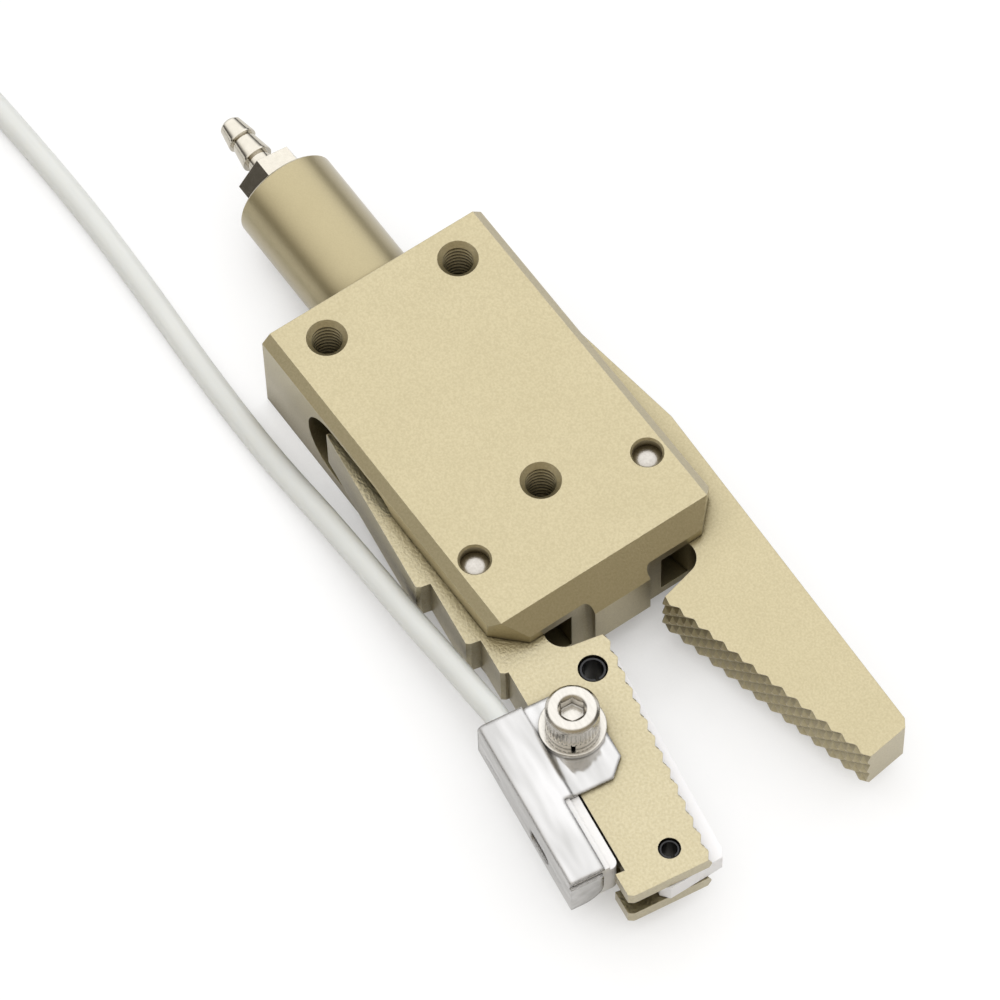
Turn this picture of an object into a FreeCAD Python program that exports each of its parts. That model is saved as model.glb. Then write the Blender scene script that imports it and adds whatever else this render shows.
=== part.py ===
# Pneumatic sprue clamp: two pivoting fingers pushed shut by a spring-return piston, one finger
# with a sensing lever and a clipped-on sensor. Millimetres. +X runs forward to the finger tips,
# +Z is up. The origin lies on the rest face, under the front mounting thread. The fingers are
# drawn wide open, as they rest. The sensing finger is on the -Y side.
import FreeCAD, Part
import math
import os

V = FreeCAD.Vector
UP = V(0, 0, 1)
FORWARD = V(1, 0, 0)
ACROSS = V(0, 1, 0)
PLAIN_SIDE = 1
SENSING_SIDE = -1

# Fits
PRESS_CLEARANCE = 0.01
RUNNING_CLEARANCE = 0.05
SEAL_CLEARANCE = 0.03
FINGER_SIDE_CLEARANCE = 0.1
CAM_CLEARANCE = 0.2
LEVER_CLEARANCE = 0.1
CLIP_CLEARANCE = 0.05
TUBE_END_CLEARANCE = 0.05

# Body block
BODY_WIDTH = 36.0
BODY_HEIGHT = 16.0
BODY_BEHIND = 39.75
BODY_AHEAD = 17.3
SIDE_CHAMFER = 1.35
FRONT_CHAMFER = 2.7
NOSE_WIDTH = 9.0
NOSE_REACH = 1.5
NOSE_FILLET = 1.0
WINDOW_BEHIND = 29.1
WINDOW_FRONT_BEHIND = 7.5
WINDOW_RADIUS = 6.0
WEB_WIDTH = 14.6
WEB_BEHIND = 4.2
WEB_CORNER = 2.0

# Mounting threads
THREAD_CREST_RADIUS = 2.1
THREAD_ROOT_RADIUS = 2.45
THREAD_PITCH = 0.8
THREAD_CREST_SHARE = 0.25
THREAD_ROOT_SHARE = 0.125
THREAD_TURNS = 14
THREAD_RUNOUT = 0.8
COUNTERSINK_RADIUS = 2.85
REAR_THREADS_BEHIND = 34.75
REAR_THREAD_SPACING = 21.5

# Finger pivots
PIVOT_AHEAD = 4.75
PIVOT_SPACING = 28.0
PIVOT_PIN_RADIUS = 2.0
PIVOT_PIN_RECESS = 1.0
PIVOT_PIN_DOME = 0.6
PIVOT_MOUTH = 0.3

# Finger swing
OPEN_ANGLE = 13.0
CLOSING_TRAVEL = 12.5

# Fingers, from the pivot in the closed position: x forward, y away from the centre plane
FINGER_THICKNESS = 7.5
JAW_HALF_GAP = 1.3
JAW_START = 14.65
JAW_END = 50.35
TIP_LEAN = 5.5
ARM_INNER = 5.0
JAW_ROOT_RADIUS = 2.8
HEEL_BACK = 10.95
HEEL_INNER = 3.4
ARM_BEND_BACK = 1.0
TAIL_BACK = 27.6
SHOULDER_OUTER = 7.9
OUTER_SLOPE = 5.4
BEND_BACK = 2.8
PLAIN_JAW_PROUD = 0.9
PLAIN_TIP_WIDTH = 6.8
PLAIN_TIP_CHAMFER = 1.0
CAM_RUNOUT_BACK = 1.5
CAM_RUNOUT_FRONT = 0.35

# Steps and lip on the outer edge of the sensing finger
STEP_PLACES = (-1.05, 9.35, 15.15)
STEP_DEPTHS = (2.0, 2.0, 1.05)
STEP_CHAMFER = 0.6
LIP_LENGTH = 2.75
LIP_REACH = 1.35
LIP_CHAMFER = 0.7
LIP_FLAT = 0.54

# Jaw knurling
KNURL_PITCH = 1.8
KNURL_DEPTH = 0.5
KNURL_LAND = 0.3
KNURL_ANGLE = 45.0

# Sensing lever
LEVER_THICKNESS = 3.0
LEVER_PROUD = 2.4
LEVER_SLOPE = 3.6
LEVER_PIVOT_ALONG = 18.85
LEVER_PIVOT_DEPTH = 3.65
LEVER_TAIL = 2.7
LEVER_WIDTH = 6.6
LEVER_WAIST = 5.2
LEVER_HEAD_WIDTH = 7.3
LEVER_HEAD_LENGTH = 8.35
LEVER_FRONT_SETBACK = 0.33
LEVER_FRONT_LEAN = 11.5
LEVER_TIP_CHAMFER = 1.2
LEVER_TRAVEL = 4.0
SLOT_DEPTH = 7.0
SLOT_BACK = 3.2
SLOT_OPEN_LENGTH = 12.35
STOP_PIN_BACK = 3.5
STOP_PIN_DEPTH = 4.5
ROLL_PIN_RADIUS = 2.0
ROLL_PIN_WALL = 0.55
STOP_PIN_RADIUS = 1.5
STOP_PIN_WALL = 0.45
ROLL_PIN_SPLIT = 0.5
ROLL_PIN_RECESS = 0.3
LEVER_SPRING_ALONG = 33.0
LEVER_SPRING_RADIUS = 0.8
LEVER_SPRING_WIRE = 0.3
LEVER_SPRING_TURNS = 6
LEVER_SPRING_NOTCH = 2.6
MAGNET_BACK = 8.85
MAGNET_DEPTH = 2.6
MAGNET_RADIUS = 1.5

# Sensor clip, along and out from the finger's outer edge, measured from the clip screw
CLIP_SHEET = 0.5
CLIP_SCREW_ALONG = 26.55
CLIP_SCREW_INSET = 3.5
CLIP_REAR = 5.6
CLIP_FRONT = 20.2
FLANGE_FRONT = 8.9
FLANGE_WIDTH = 7.7
FLANGE_CUT = 2.4
CHANNEL_STEP = 0.7
CHANNEL_INNER = 1.1
CHANNEL_FREE_EDGE = 2.4
CHANNEL_OUTER = 7.6
CHANNEL_BEND = 0.9
CLIP_WALL_HEIGHT = 7.4
CLIP_LIP = 2.5
FLAP_WIDTH = 4.8
FLAP_CORNER = 3.0
INDICATOR_START = 9.1
INDICATOR_LENGTH = 5.2
INDICATOR_HEIGHT = 2.3
INDICATOR_DROP = 4.4
INDICATOR_DEPTH = 0.8

# Sensor
SENSOR_GAP = 0.3
SENSOR_CORNER = 1.0
SENSOR_REAR_INSET = 0.3

# Clip screw and washers
SCREW_RADIUS = 2.0
SCREW_LENGTH = 8.0
SCREW_HEAD_RADIUS = 3.6
SCREW_HEAD_HEIGHT = 4.0
SCREW_HEAD_CHAMFER = 0.45
SCREW_SOCKET_FLATS = 3.0
SCREW_SOCKET_DEPTH = 2.0
SCREW_SOCKET_MOUTH = 0.25
SCREW_TURN = 26.0
SCREW_GROOVES = 36
SCREW_GROOVE_DEPTH = 0.14
SCREW_GROOVE_TOP = 1.0
FLAT_WASHER_RADIUS = 4.5
FLAT_WASHER_THICKNESS = 0.8
SPRING_WASHER_RADIUS = 3.55
SPRING_WASHER_THICKNESS = 1.0
SPRING_WASHER_SPLIT = 0.6
WASHER_PLAY = 0.15
CLIP_HOLE_PLAY = 0.25

# Cylinder
BARREL_RADIUS = 7.5
BARREL_LENGTH = 21.65
BARREL_RIM_CHAMFER = 0.3
BARREL_BORE_RADIUS = 5.2
BARREL_END_WALL = 4.0
SPIGOT_RADIUS = 6.5
SPIGOT_LENGTH = 4.0
PISTON_LENGTH = 4.5
PISTON_REAR_GAP = 0.4
PISTON_SEAL_WIDTH = 1.6
PISTON_SEAL_DEPTH = 1.0
ROD_RADIUS = 2.5
ROD_STUD_RADIUS = 1.5
ROD_STUD_LENGTH = 3.0
BUSH_RADIUS = 3.6
BUSH_FRONT_INSET = 0.4
PUSH_NOSE_RADIUS = 3.5
PUSH_NOSE_LENGTH = 3.5
PUSH_NOSE_BEHIND = 21.0
PISTON_STROKE = 11.0
RETURN_SPRING_RADIUS = 3.9
RETURN_SPRING_WIRE = 0.6
RETURN_SPRING_TURNS = 6
SPRING_ARCS_PER_TURN = 8
OPENING_SPRING_AHEAD = 11.0
OPENING_SPRING_RADIUS = 2.0
OPENING_SPRING_WIRE = 0.5
OPENING_SPRING_TURNS = 12
SPRING_BORE_PLAY = 0.4
SPRING_SEAT_DEPTH = 1.5
SPRING_END_GAP = 0.05

# Hose barb and its gasket
PORT_RADIUS = 2.1
HEX_FLATS = 8.6
HEX_LENGTH = 4.15
HEX_TURN = 40.5
BARB_BORE_RADIUS = 0.9
BARB_NECK_RADIUS = 1.75
BARB_NECK_LENGTH = 2.75
BARB_RIDGE_RADII = (2.3, 2.15)
BARB_TIP_RADIUS = 1.65
BARB_TIP_ROUNDING = 0.4
BARB_RIDGE_LENGTH = 3.7
BARB_TIP_LENGTH = 3.4
BARB_RIDGE_LAND = 0.3
GASKET_RADIUS = 3.7
GASKET_THICKNESS = 0.8

# Sensor cable: it runs back along the floor, and the rest is wound into a coil behind the clamp
CABLE_RADIUS = 1.75
CABLE_ARC_SHARE = 0.45
CABLE_ROUTE = [
    (19.0, -23.1, 7.9),
    (12.4, -23.2, 5.6),
    (4.0, -23.3, 2.0),
    (-4.0, -23.2, 1.8),
    (-18.0, -22.6, 1.8),
    (-32.0, -23.4, 1.8),
    (-47.0, -23.3, 1.8),
    (-62.0, -22.6, 1.8),
    (-78.0, -22.2, 1.8),
    (-94.0, -22.7, 1.8),
    (-109.0, -23.6, 1.8),
    (-122.0, -23.3, 1.85),
    (-135.0, -22.9, 2.2),
]
COIL_CENTRE = (-145.0, 3.7)
COIL_OUTER_RADIUS = 28.5
COIL_INNER_RADIUS = 13.5
COIL_HEIGHT = 7.3
COIL_EDGE = 2.0
TIE_THICKNESS = 0.7
TIE_WIDTH = 4.0
TIE_HEAD = 2.4
TIE_CLEARANCE = 0.05
CABLE_END_ROUTE = [
    (-154.0, -22.5, 5.8),
    (-162.0, -22.2, 4.8),
    (-171.0, -21.5, 2.7),
    (-179.0, -20.7, 1.8),
]
WIRE_RADIUS = 0.5
WIRE_LENGTH = 14.0
WIRE_FAN = 9.0

# Places worked out from the sizes above
MID_HEIGHT = BODY_HEIGHT / 2
FINGER_TOP = MID_HEIGHT + FINGER_THICKNESS / 2
FINGER_BOTTOM = MID_HEIGHT - FINGER_THICKNESS / 2
SLOT_HALF = FINGER_THICKNESS / 2 + FINGER_SIDE_CLEARANCE
PIVOT_OUT = PIVOT_SPACING / 2
JAW_FACE = -(PIVOT_OUT - JAW_HALF_GAP)
LIP_START = JAW_END - LIP_LENGTH
LEVER_HEAD_START = JAW_END - LEVER_HEAD_LENGTH
SLOT_OPEN_FROM = JAW_END - SLOT_OPEN_LENGTH
BARREL_REAR = -(BODY_BEHIND + BARREL_LENGTH)
SPIGOT_FRONT = -BODY_BEHIND + SPIGOT_LENGTH
PISTON_REAR = BARREL_REAR + BARREL_END_WALL + PISTON_REAR_GAP
PISTON_FRONT = PISTON_REAR + PISTON_LENGTH
SLOPE = math.tan(math.radians(OUTER_SLOPE))


def lift(point, height=0.0):
    return V(point[0], point[1], height)


def turned(point, degrees):
    angle = math.radians(degrees)
    cosine = math.cos(angle)
    sine = math.sin(angle)
    return (point[0] * cosine - point[1] * sine, point[0] * sine + point[1] * cosine)


def outline_wire(start, steps):
    # A step is a point, for a line, or a pair of points, for an arc through the first
    edges = []
    here = start
    for step in steps:
        if isinstance(step[0], tuple):
            middle, there = step
            edges.append(Part.Arc(lift(here), lift(middle), lift(there)).toShape())
        else:
            there = step
            edges.append(Part.LineSegment(lift(here), lift(there)).toShape())
        here = there
    edges.append(Part.LineSegment(lift(here), lift(start)).toShape())
    return Part.Wire(edges)


def plate(start, steps, bottom, top):
    face = Part.Face(outline_wire(start, steps))
    solid = face.extrude(V(0, 0, top - bottom))
    solid.translate(V(0, 0, bottom))
    return solid


def polygon_plate(points, bottom, top):
    return plate(points[0], points[1:], bottom, top)


def box(low, high):
    return Part.makeBox(high[0] - low[0], high[1] - low[1], high[2] - low[2], V(*low))


def bar(radius, start, end):
    span = end - start
    return Part.makeCylinder(radius, span.Length, start, span)


def ring(outer, inner, start, end):
    return bar(outer, start, end).cut(bar(inner, start, end))


def turned_solid(profile, base, axis):
    # Profile points are (distance along the axis, radius)
    points = [V(radius, 0, along) for along, radius in profile]
    solid = Part.Face(Part.makePolygon(points + [points[0]])).revolve(V(), UP, 360)
    solid.Placement = FreeCAD.Placement(base, FreeCAD.Rotation(UP, axis))
    return solid


def obround(rear, front, near, far, level, height):
    # Bar across, with round ends at its rear and front
    radius = height / 2
    shape = box((rear + radius, near, level - radius), (front - radius, far, level + radius))
    for place in (rear + radius, front - radius):
        shape = shape.fuse(bar(radius, V(place, near, level), V(place, far, level)))
    return shape.removeSplitter()


def round_upright(solid, places, radius):
    # Rounds the upright edges that stand at the given places
    edges = []
    for edge in solid.Edges:
        ends = [vertex.Point for vertex in edge.Vertexes]
        if len(ends) != 2 or (ends[0] - ends[1]).cross(UP).Length > radius / 1000:
            continue
        for place in places:
            if (lift(ends[0]) - lift(place)).Length < radius / 1000:
                edges.append(edge)
    return solid.makeFillet(radius, edges)


def coil_spring(mean_radius, wire_diameter, length, turns, base, axis):
    # The wire follows a helix of short arcs
    rise = length - wire_diameter
    halves = 2 * SPRING_ARCS_PER_TURN

    def on_helix(half):
        place = turned((mean_radius, 0), 360 * half / halves)
        return lift(place, wire_diameter / 2 + rise * half / (halves * turns))

    arcs = []
    for half in range(0, halves * turns, 2):
        arcs.append(Part.Arc(on_helix(half), on_helix(half + 1), on_helix(half + 2)).toShape())
    section = Part.makeCircle(wire_diameter / 2, on_helix(0), ACROSS)
    solid = Part.Wire(arcs).makePipeShell([Part.Wire(section)], True, True)
    solid.Placement = FreeCAD.Placement(base, FreeCAD.Rotation(UP, axis)).multiply(solid.Placement)
    return solid


def on_finger(solid, side):
    # From the closed finger's own axes to the open finger in the clamp
    moved = solid.copy()
    moved.rotate(V(), UP, OPEN_ANGLE)
    moved.translate(V(PIVOT_AHEAD, PIVOT_OUT, 0))
    if side < 0:
        moved = moved.mirror(V(), ACROSS)
    return moved


def off_finger(solid, side):
    # From the clamp back to the closed finger's own axes
    moved = solid.copy()
    if side < 0:
        moved = moved.mirror(V(), ACROSS)
    moved.translate(V(-PIVOT_AHEAD, -PIVOT_OUT, 0))
    moved.rotate(V(), UP, -OPEN_ANGLE)
    return moved


def thread_tool(place):
    # Ring grooves stand for the thread, with a countersunk mouth and a plain runout
    profile = [(0, 0), (0, COUNTERSINK_RADIUS)]
    mouth = COUNTERSINK_RADIUS - THREAD_CREST_RADIUS
    flank = THREAD_PITCH * (1 - THREAD_CREST_SHARE - THREAD_ROOT_SHARE) / 2
    depth = mouth
    for turn in range(THREAD_TURNS):
        profile.append((-depth, THREAD_CREST_RADIUS))
        depth += THREAD_PITCH * THREAD_CREST_SHARE
        profile.append((-depth, THREAD_CREST_RADIUS))
        depth += flank
        profile.append((-depth, THREAD_ROOT_RADIUS))
        depth += THREAD_PITCH * THREAD_ROOT_SHARE
        profile.append((-depth, THREAD_ROOT_RADIUS))
        depth += flank
    profile.append((-depth, THREAD_CREST_RADIUS))
    profile.append((-depth - THREAD_RUNOUT, THREAD_CREST_RADIUS))
    profile.append((-depth - THREAD_RUNOUT - THREAD_CREST_RADIUS / 2, 0))
    return turned_solid(profile, lift(place, BODY_HEIGHT), UP)


def pivot_hole(foot):
    # Through hole with chamfered mouths
    radius = PIVOT_PIN_RADIUS + PRESS_CLEARANCE
    profile = [
        (0, 0), (0, radius + PIVOT_MOUTH), (PIVOT_MOUTH, radius),
        (BODY_HEIGHT - PIVOT_MOUTH, radius), (BODY_HEIGHT, radius + PIVOT_MOUTH), (BODY_HEIGHT, 0),
    ]
    return turned_solid(profile, foot, UP)


def body_block():
    half = BODY_WIDTH / 2
    corner = SIDE_CHAMFER + FRONT_CHAMFER
    nose = NOSE_WIDTH / 2
    front = BODY_AHEAD
    plan = [
        (-BODY_BEHIND, -half), (front - corner, -half), (front, corner - half),
        (front, -nose), (front + NOSE_REACH, -nose), (front + NOSE_REACH, nose),
        (front, nose), (front, half - corner), (front - corner, half), (-BODY_BEHIND, half),
    ]
    block = polygon_plate(plan, 0, BODY_HEIGHT)
    block = round_upright(block, [(front, -nose), (front, nose)], NOSE_FILLET)

    # Chamfers along the top side edges and across the front, above and below
    reach = FRONT_CHAMFER + NOSE_REACH
    for side in (PLAIN_SIDE, SENSING_SIDE):
        wedge = Part.Face(Part.makePolygon([
            V(-BODY_BEHIND, side * (half - SIDE_CHAMFER), BODY_HEIGHT),
            V(-BODY_BEHIND, side * half, BODY_HEIGHT),
            V(-BODY_BEHIND, side * half, BODY_HEIGHT - SIDE_CHAMFER),
            V(-BODY_BEHIND, side * (half - SIDE_CHAMFER), BODY_HEIGHT),
        ])).extrude(V(BODY_BEHIND + front + NOSE_REACH, 0, 0))
        block = block.cut(wedge)
    for level, inward in ((BODY_HEIGHT, -1), (0, 1)):
        wedge = Part.Face(Part.makePolygon([
            V(front - FRONT_CHAMFER, -BODY_WIDTH, level),
            V(front + NOSE_REACH, -BODY_WIDTH, level),
            V(front + NOSE_REACH, -BODY_WIDTH, level + inward * reach),
            V(front - FRONT_CHAMFER, -BODY_WIDTH, level),
        ])).extrude(V(0, 2 * BODY_WIDTH, 0))
        block = block.cut(wedge)

    # Round-ended window across the body for the fingers' tails
    window = obround(-WINDOW_BEHIND, -WINDOW_FRONT_BEHIND, -BODY_WIDTH, BODY_WIDTH, MID_HEIGHT,
                     2 * WINDOW_RADIUS)
    slot_start = -WINDOW_BEHIND + WINDOW_RADIUS

    # The finger slot, open at both sides and the front, with the web left between its pockets
    low = MID_HEIGHT - SLOT_HALF
    high = MID_HEIGHT + SLOT_HALF
    slot = box((slot_start, -BODY_WIDTH, low), (front + NOSE_REACH + reach, BODY_WIDTH, high))
    web_half = WEB_WIDTH / 2
    web = box((-WEB_BEHIND, -web_half, low), (front, web_half, high))
    web = round_upright(web, [(-WEB_BEHIND, -web_half), (-WEB_BEHIND, web_half)], WEB_CORNER)
    nose_block = box((front - nose, -nose, low), (front + NOSE_REACH, nose, high))
    nose_root = box((front - nose, -web_half, low), (front + NOSE_REACH, web_half, high))
    kept = web.fuse(nose_block).fuse(block.common(nose_root))
    block = block.cut(slot.fuse(window).cut(kept)).removeSplitter()

    # Barrel socket, bush bore, pivot holes, spring bore and mounting threads
    axis = V(0, 0, MID_HEIGHT)
    rear = V(-BODY_BEHIND, 0, MID_HEIGHT)
    block = block.cut(bar(SPIGOT_RADIUS + PRESS_CLEARANCE, rear, axis + FORWARD * SPIGOT_FRONT))
    block = block.cut(bar(BUSH_RADIUS + PRESS_CLEARANCE, rear, axis + FORWARD * slot_start))
    for side in (PLAIN_SIDE, SENSING_SIDE):
        foot = V(PIVOT_AHEAD, side * PIVOT_OUT, 0)
        block = block.cut(pivot_hole(foot))
    spring_hole = OPENING_SPRING_RADIUS + OPENING_SPRING_WIRE / 2 + SPRING_BORE_PLAY
    middle = V(OPENING_SPRING_AHEAD, 0, MID_HEIGHT)
    block = block.cut(bar(spring_hole, middle - ACROSS * web_half, middle + ACROSS * web_half))
    rear_out = REAR_THREAD_SPACING / 2
    for place in ((0, 0), (-REAR_THREADS_BEHIND, rear_out), (-REAR_THREADS_BEHIND, -rear_out)):
        block = block.cut(thread_tool(place))
    return block


def pivot_pin(side):
    low = PIVOT_PIN_RECESS + PIVOT_PIN_DOME
    high = BODY_HEIGHT - low
    foot = V(PIVOT_AHEAD, side * PIVOT_OUT, 0)
    pin = bar(PIVOT_PIN_RADIUS, foot + UP * low, foot + UP * high)
    ball_radius = (PIVOT_PIN_RADIUS ** 2 + PIVOT_PIN_DOME ** 2) / (2 * PIVOT_PIN_DOME)
    for level, way in ((high, UP), (low, -UP)):
        seat = foot + UP * level
        ball = Part.makeSphere(ball_radius, seat + way * (PIVOT_PIN_DOME - ball_radius))
        pin = pin.fuse(bar(PIVOT_PIN_RADIUS, seat, seat + way * PIVOT_PIN_DOME).common(ball))
    return pin.removeSplitter()


def nose_in_finger(closing):
    # Centre of the push nose, in the closed finger's axes, after the finger has closed so far
    along = -PUSH_NOSE_BEHIND + PISTON_STROKE * closing / CLOSING_TRAVEL
    return turned((along - PIVOT_AHEAD, -PIVOT_OUT), closing - OPEN_ANGLE)


def cam_points():
    # Start, middle and end of the tail's inner cam, an arc that follows the push nose
    first = nose_in_finger(0)
    middle = nose_in_finger(CLOSING_TRAVEL / 2)
    last = nose_in_finger(CLOSING_TRAVEL)
    circle = Part.Arc(lift(first), lift(middle), lift(last)).toShape().Curve
    centre = circle.Center
    offset = PUSH_NOSE_RADIUS + CAM_CLEARANCE
    outward = -1 if centre.y > middle[1] else 1
    radius = circle.Radius + outward * offset

    def beside(point, runout):
        spoke = lift(point) - centre
        angle = math.degrees(runout / radius)
        along = turned((spoke.x, spoke.y), angle)
        scale = radius / circle.Radius
        return (centre.x + along[0] * scale, centre.y + along[1] * scale)

    forward = 1 if centre.y > middle[1] else -1
    return (beside(first, -forward * CAM_RUNOUT_BACK), beside(middle, 0),
            beside(last, forward * CAM_RUNOUT_FRONT))


def inner_edge(face):
    # From the tail's rear inner corner to the rear corner of the jaw's face
    cam_start, cam_middle, cam_end = cam_points()
    root = JAW_ROOT_RADIUS
    centre = (JAW_START - root, -ARM_INNER - root)
    half = root * math.sqrt(0.5)
    return cam_start, [
        (cam_middle, cam_end), (-HEEL_BACK, -HEEL_INNER), (-ARM_BEND_BACK, -ARM_INNER),
        (centre[0], -ARM_INNER),
        ((centre[0] + half, centre[1] + half), (JAW_START, centre[1])), (JAW_START, face),
    ]


def tip_front(across):
    # Place on the leaning front face, at a width measured from the jaw face
    return (JAW_END + across * math.tan(math.radians(TIP_LEAN)), JAW_FACE + across)


def tail_corner():
    return (-TAIL_BACK, SHOULDER_OUTER + TAIL_BACK * SLOPE)


def knurled(finger, face):
    # Two crossing sets of parallel V grooves over the whole jaw face
    rise = math.radians(KNURL_ANGLE)
    spacing = KNURL_PITCH / math.sin(rise)
    reach = FINGER_THICKNESS / math.sin(rise)
    spread = FINGER_THICKNESS / math.tan(rise) / 2
    count = math.ceil((JAW_END - JAW_START + 2 * spread) / spacing) + 1
    half = (KNURL_PITCH - KNURL_LAND) / 2
    outside = face - KNURL_DEPTH
    profile = Part.Face(Part.makePolygon([
        V(-reach, face + KNURL_DEPTH, 0), V(-reach, face, half), V(-reach, outside, half),
        V(-reach, outside, -half), V(-reach, face, -half), V(-reach, face + KNURL_DEPTH, 0),
    ]))
    groove = profile.extrude(V(2 * reach, 0, 0))
    for turn in (KNURL_ANGLE, -KNURL_ANGLE):
        cutters = []
        for index in range(count):
            cutter = groove.copy()
            cutter.rotate(V(), ACROSS, turn)
            cutter.translate(V(JAW_START - spread + index * spacing, 0, MID_HEIGHT))
            cutters.append(cutter)
        finger = finger.cut(Part.makeCompound(cutters))
    return finger


def pivot_bore():
    return bar(PIVOT_PIN_RADIUS + RUNNING_CLEARANCE, V(0, 0, FINGER_BOTTOM), V(0, 0, FINGER_TOP))


def spring_seat(side):
    # Flat-bottomed seat for the opening spring, sunk into the arm's inner edge
    radius = OPENING_SPRING_RADIUS + OPENING_SPRING_WIRE / 2 + SPRING_BORE_PLAY
    start = V(OPENING_SPRING_AHEAD, 0, MID_HEIGHT)
    end = V(OPENING_SPRING_AHEAD, side * spring_reach(), MID_HEIGHT)
    return off_finger(bar(radius, start, end), side)


def spring_reach():
    # Half the opening spring's room: from the centre plane to the bottom of its seat
    swing = math.radians(OPEN_ANGLE)
    ahead = OPENING_SPRING_AHEAD - PIVOT_AHEAD
    inner = PIVOT_OUT - ARM_INNER / math.cos(swing) + ahead * math.tan(swing)
    return inner + SPRING_SEAT_DEPTH


def plain_finger():
    face = JAW_FACE - PLAIN_JAW_PROUD
    start, steps = inner_edge(face)
    tip = PLAIN_TIP_WIDTH - PLAIN_TIP_CHAMFER
    bend = (-BEND_BACK, SHOULDER_OUTER + BEND_BACK * SLOPE)
    tip_corner = tip_front(PLAIN_TIP_WIDTH)
    steps = steps + [
        tip_front(-PLAIN_JAW_PROUD), tip_front(tip),
        (tip_corner[0] - PLAIN_TIP_CHAMFER, tip_corner[1]), bend, tail_corner(),
    ]
    finger = plate(start, steps, FINGER_BOTTOM, FINGER_TOP)
    finger = knurled(finger, face).cut(pivot_bore()).cut(spring_seat(PLAIN_SIDE))
    return on_finger(finger, PLAIN_SIDE)


def outer_edge_height(along):
    # Outer edge of the sensing finger ahead of its last step
    return SHOULDER_OUTER - sum(STEP_DEPTHS) - along * SLOPE


def sensing_tip_width():
    # Width of the leaning front face, up to the flat under the lip's chamfer
    return outer_edge_height(JAW_END) + LIP_REACH - LIP_CHAMFER - LIP_FLAT - JAW_FACE


def stepped_edge():
    # From the lip back to the tail, over the steps
    points = []
    outer = SHOULDER_OUTER
    for place, depth in zip(STEP_PLACES, STEP_DEPTHS):
        height = outer - place * SLOPE
        points.append((place - STEP_CHAMFER / 2, height))
        points.append((place, height - STEP_CHAMFER))
        points.append((place, height - depth))
        outer -= depth
    points.append((LIP_START, outer_edge_height(LIP_START)))
    points.append((LIP_START, outer_edge_height(LIP_START) + LIP_REACH))
    front = tip_front(sensing_tip_width())
    lip_top = outer_edge_height(front[0]) + LIP_REACH
    points.append((front[0] - LIP_CHAMFER / 2, lip_top))
    points.append((front[0], lip_top - LIP_CHAMFER))
    return list(reversed(points))


def lever_pivot():
    return (LEVER_PIVOT_ALONG, JAW_FACE + LEVER_PIVOT_DEPTH)


def stop_pin_place():
    return (JAW_END - STOP_PIN_BACK, JAW_FACE + STOP_PIN_DEPTH)


def screw_place():
    return clip_point(0, -CLIP_SCREW_INSET)


def lever_slot():
    # Slot for the lever: behind a wall at the screw, open to the outer side further forward
    pivot = lever_pivot()
    far = 2 * JAW_END
    inside = JAW_FACE + SLOT_DEPTH
    open_from = SLOT_OPEN_FROM + SLOT_DEPTH
    points = [
        (pivot[0] - SLOT_BACK, JAW_FACE - SLOT_DEPTH), (far, JAW_FACE - SLOT_DEPTH), (far, PIVOT_OUT),
        (open_from, PIVOT_OUT), (open_from, inside + SLOT_DEPTH / 2), (SLOT_OPEN_FROM, inside),
        (pivot[0] - SLOT_BACK, inside),
    ]
    half = LEVER_THICKNESS / 2 + LEVER_CLEARANCE
    return polygon_plate(points, MID_HEIGHT - half, MID_HEIGHT + half)


def sensing_finger():
    start, steps = inner_edge(JAW_FACE)
    front = tip_front(sensing_tip_width())
    steps = steps + [(JAW_END, JAW_FACE), front] + stepped_edge() + [tail_corner()]
    finger = plate(start, steps, FINGER_BOTTOM, FINGER_TOP)
    finger = knurled(finger, JAW_FACE).cut(pivot_bore()).cut(spring_seat(SENSING_SIDE))
    finger = finger.cut(lever_slot())
    drop = V(0, 0, FINGER_THICKNESS)
    for place, radius in ((lever_pivot(), ROLL_PIN_RADIUS), (stop_pin_place(), STOP_PIN_RADIUS)):
        foot = lift(place, FINGER_BOTTOM)
        finger = finger.cut(bar(radius + PRESS_CLEARANCE, foot, foot + drop))
    foot = lift(screw_place(), FINGER_BOTTOM)
    finger = finger.cut(bar(SCREW_RADIUS + PRESS_CLEARANCE, foot, foot + drop))
    return on_finger(finger, SENSING_SIDE)


def roll_pin(place, radius, wall):
    low = FINGER_BOTTOM + ROLL_PIN_RECESS
    high = FINGER_TOP - ROLL_PIN_RECESS
    chamfer = wall / 2
    profile = [
        (low, radius - wall), (low, radius - chamfer), (low + chamfer, radius),
        (high - chamfer, radius), (high, radius - chamfer), (high, radius - wall),
    ]
    pin = turned_solid(profile, lift(place), UP)
    half = ROLL_PIN_SPLIT / 2
    split = box((place[0], place[1] - half, low), (place[0] + 2 * radius, place[1] + half, high))
    return on_finger(pin.cut(split), SENSING_SIDE)


def lever_edge(along):
    # Inner edge of the lever, standing proud of the jaw face
    slope = math.tan(math.radians(LEVER_SLOPE))
    return JAW_FACE - LEVER_PROUD + (JAW_END - along) * slope


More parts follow.
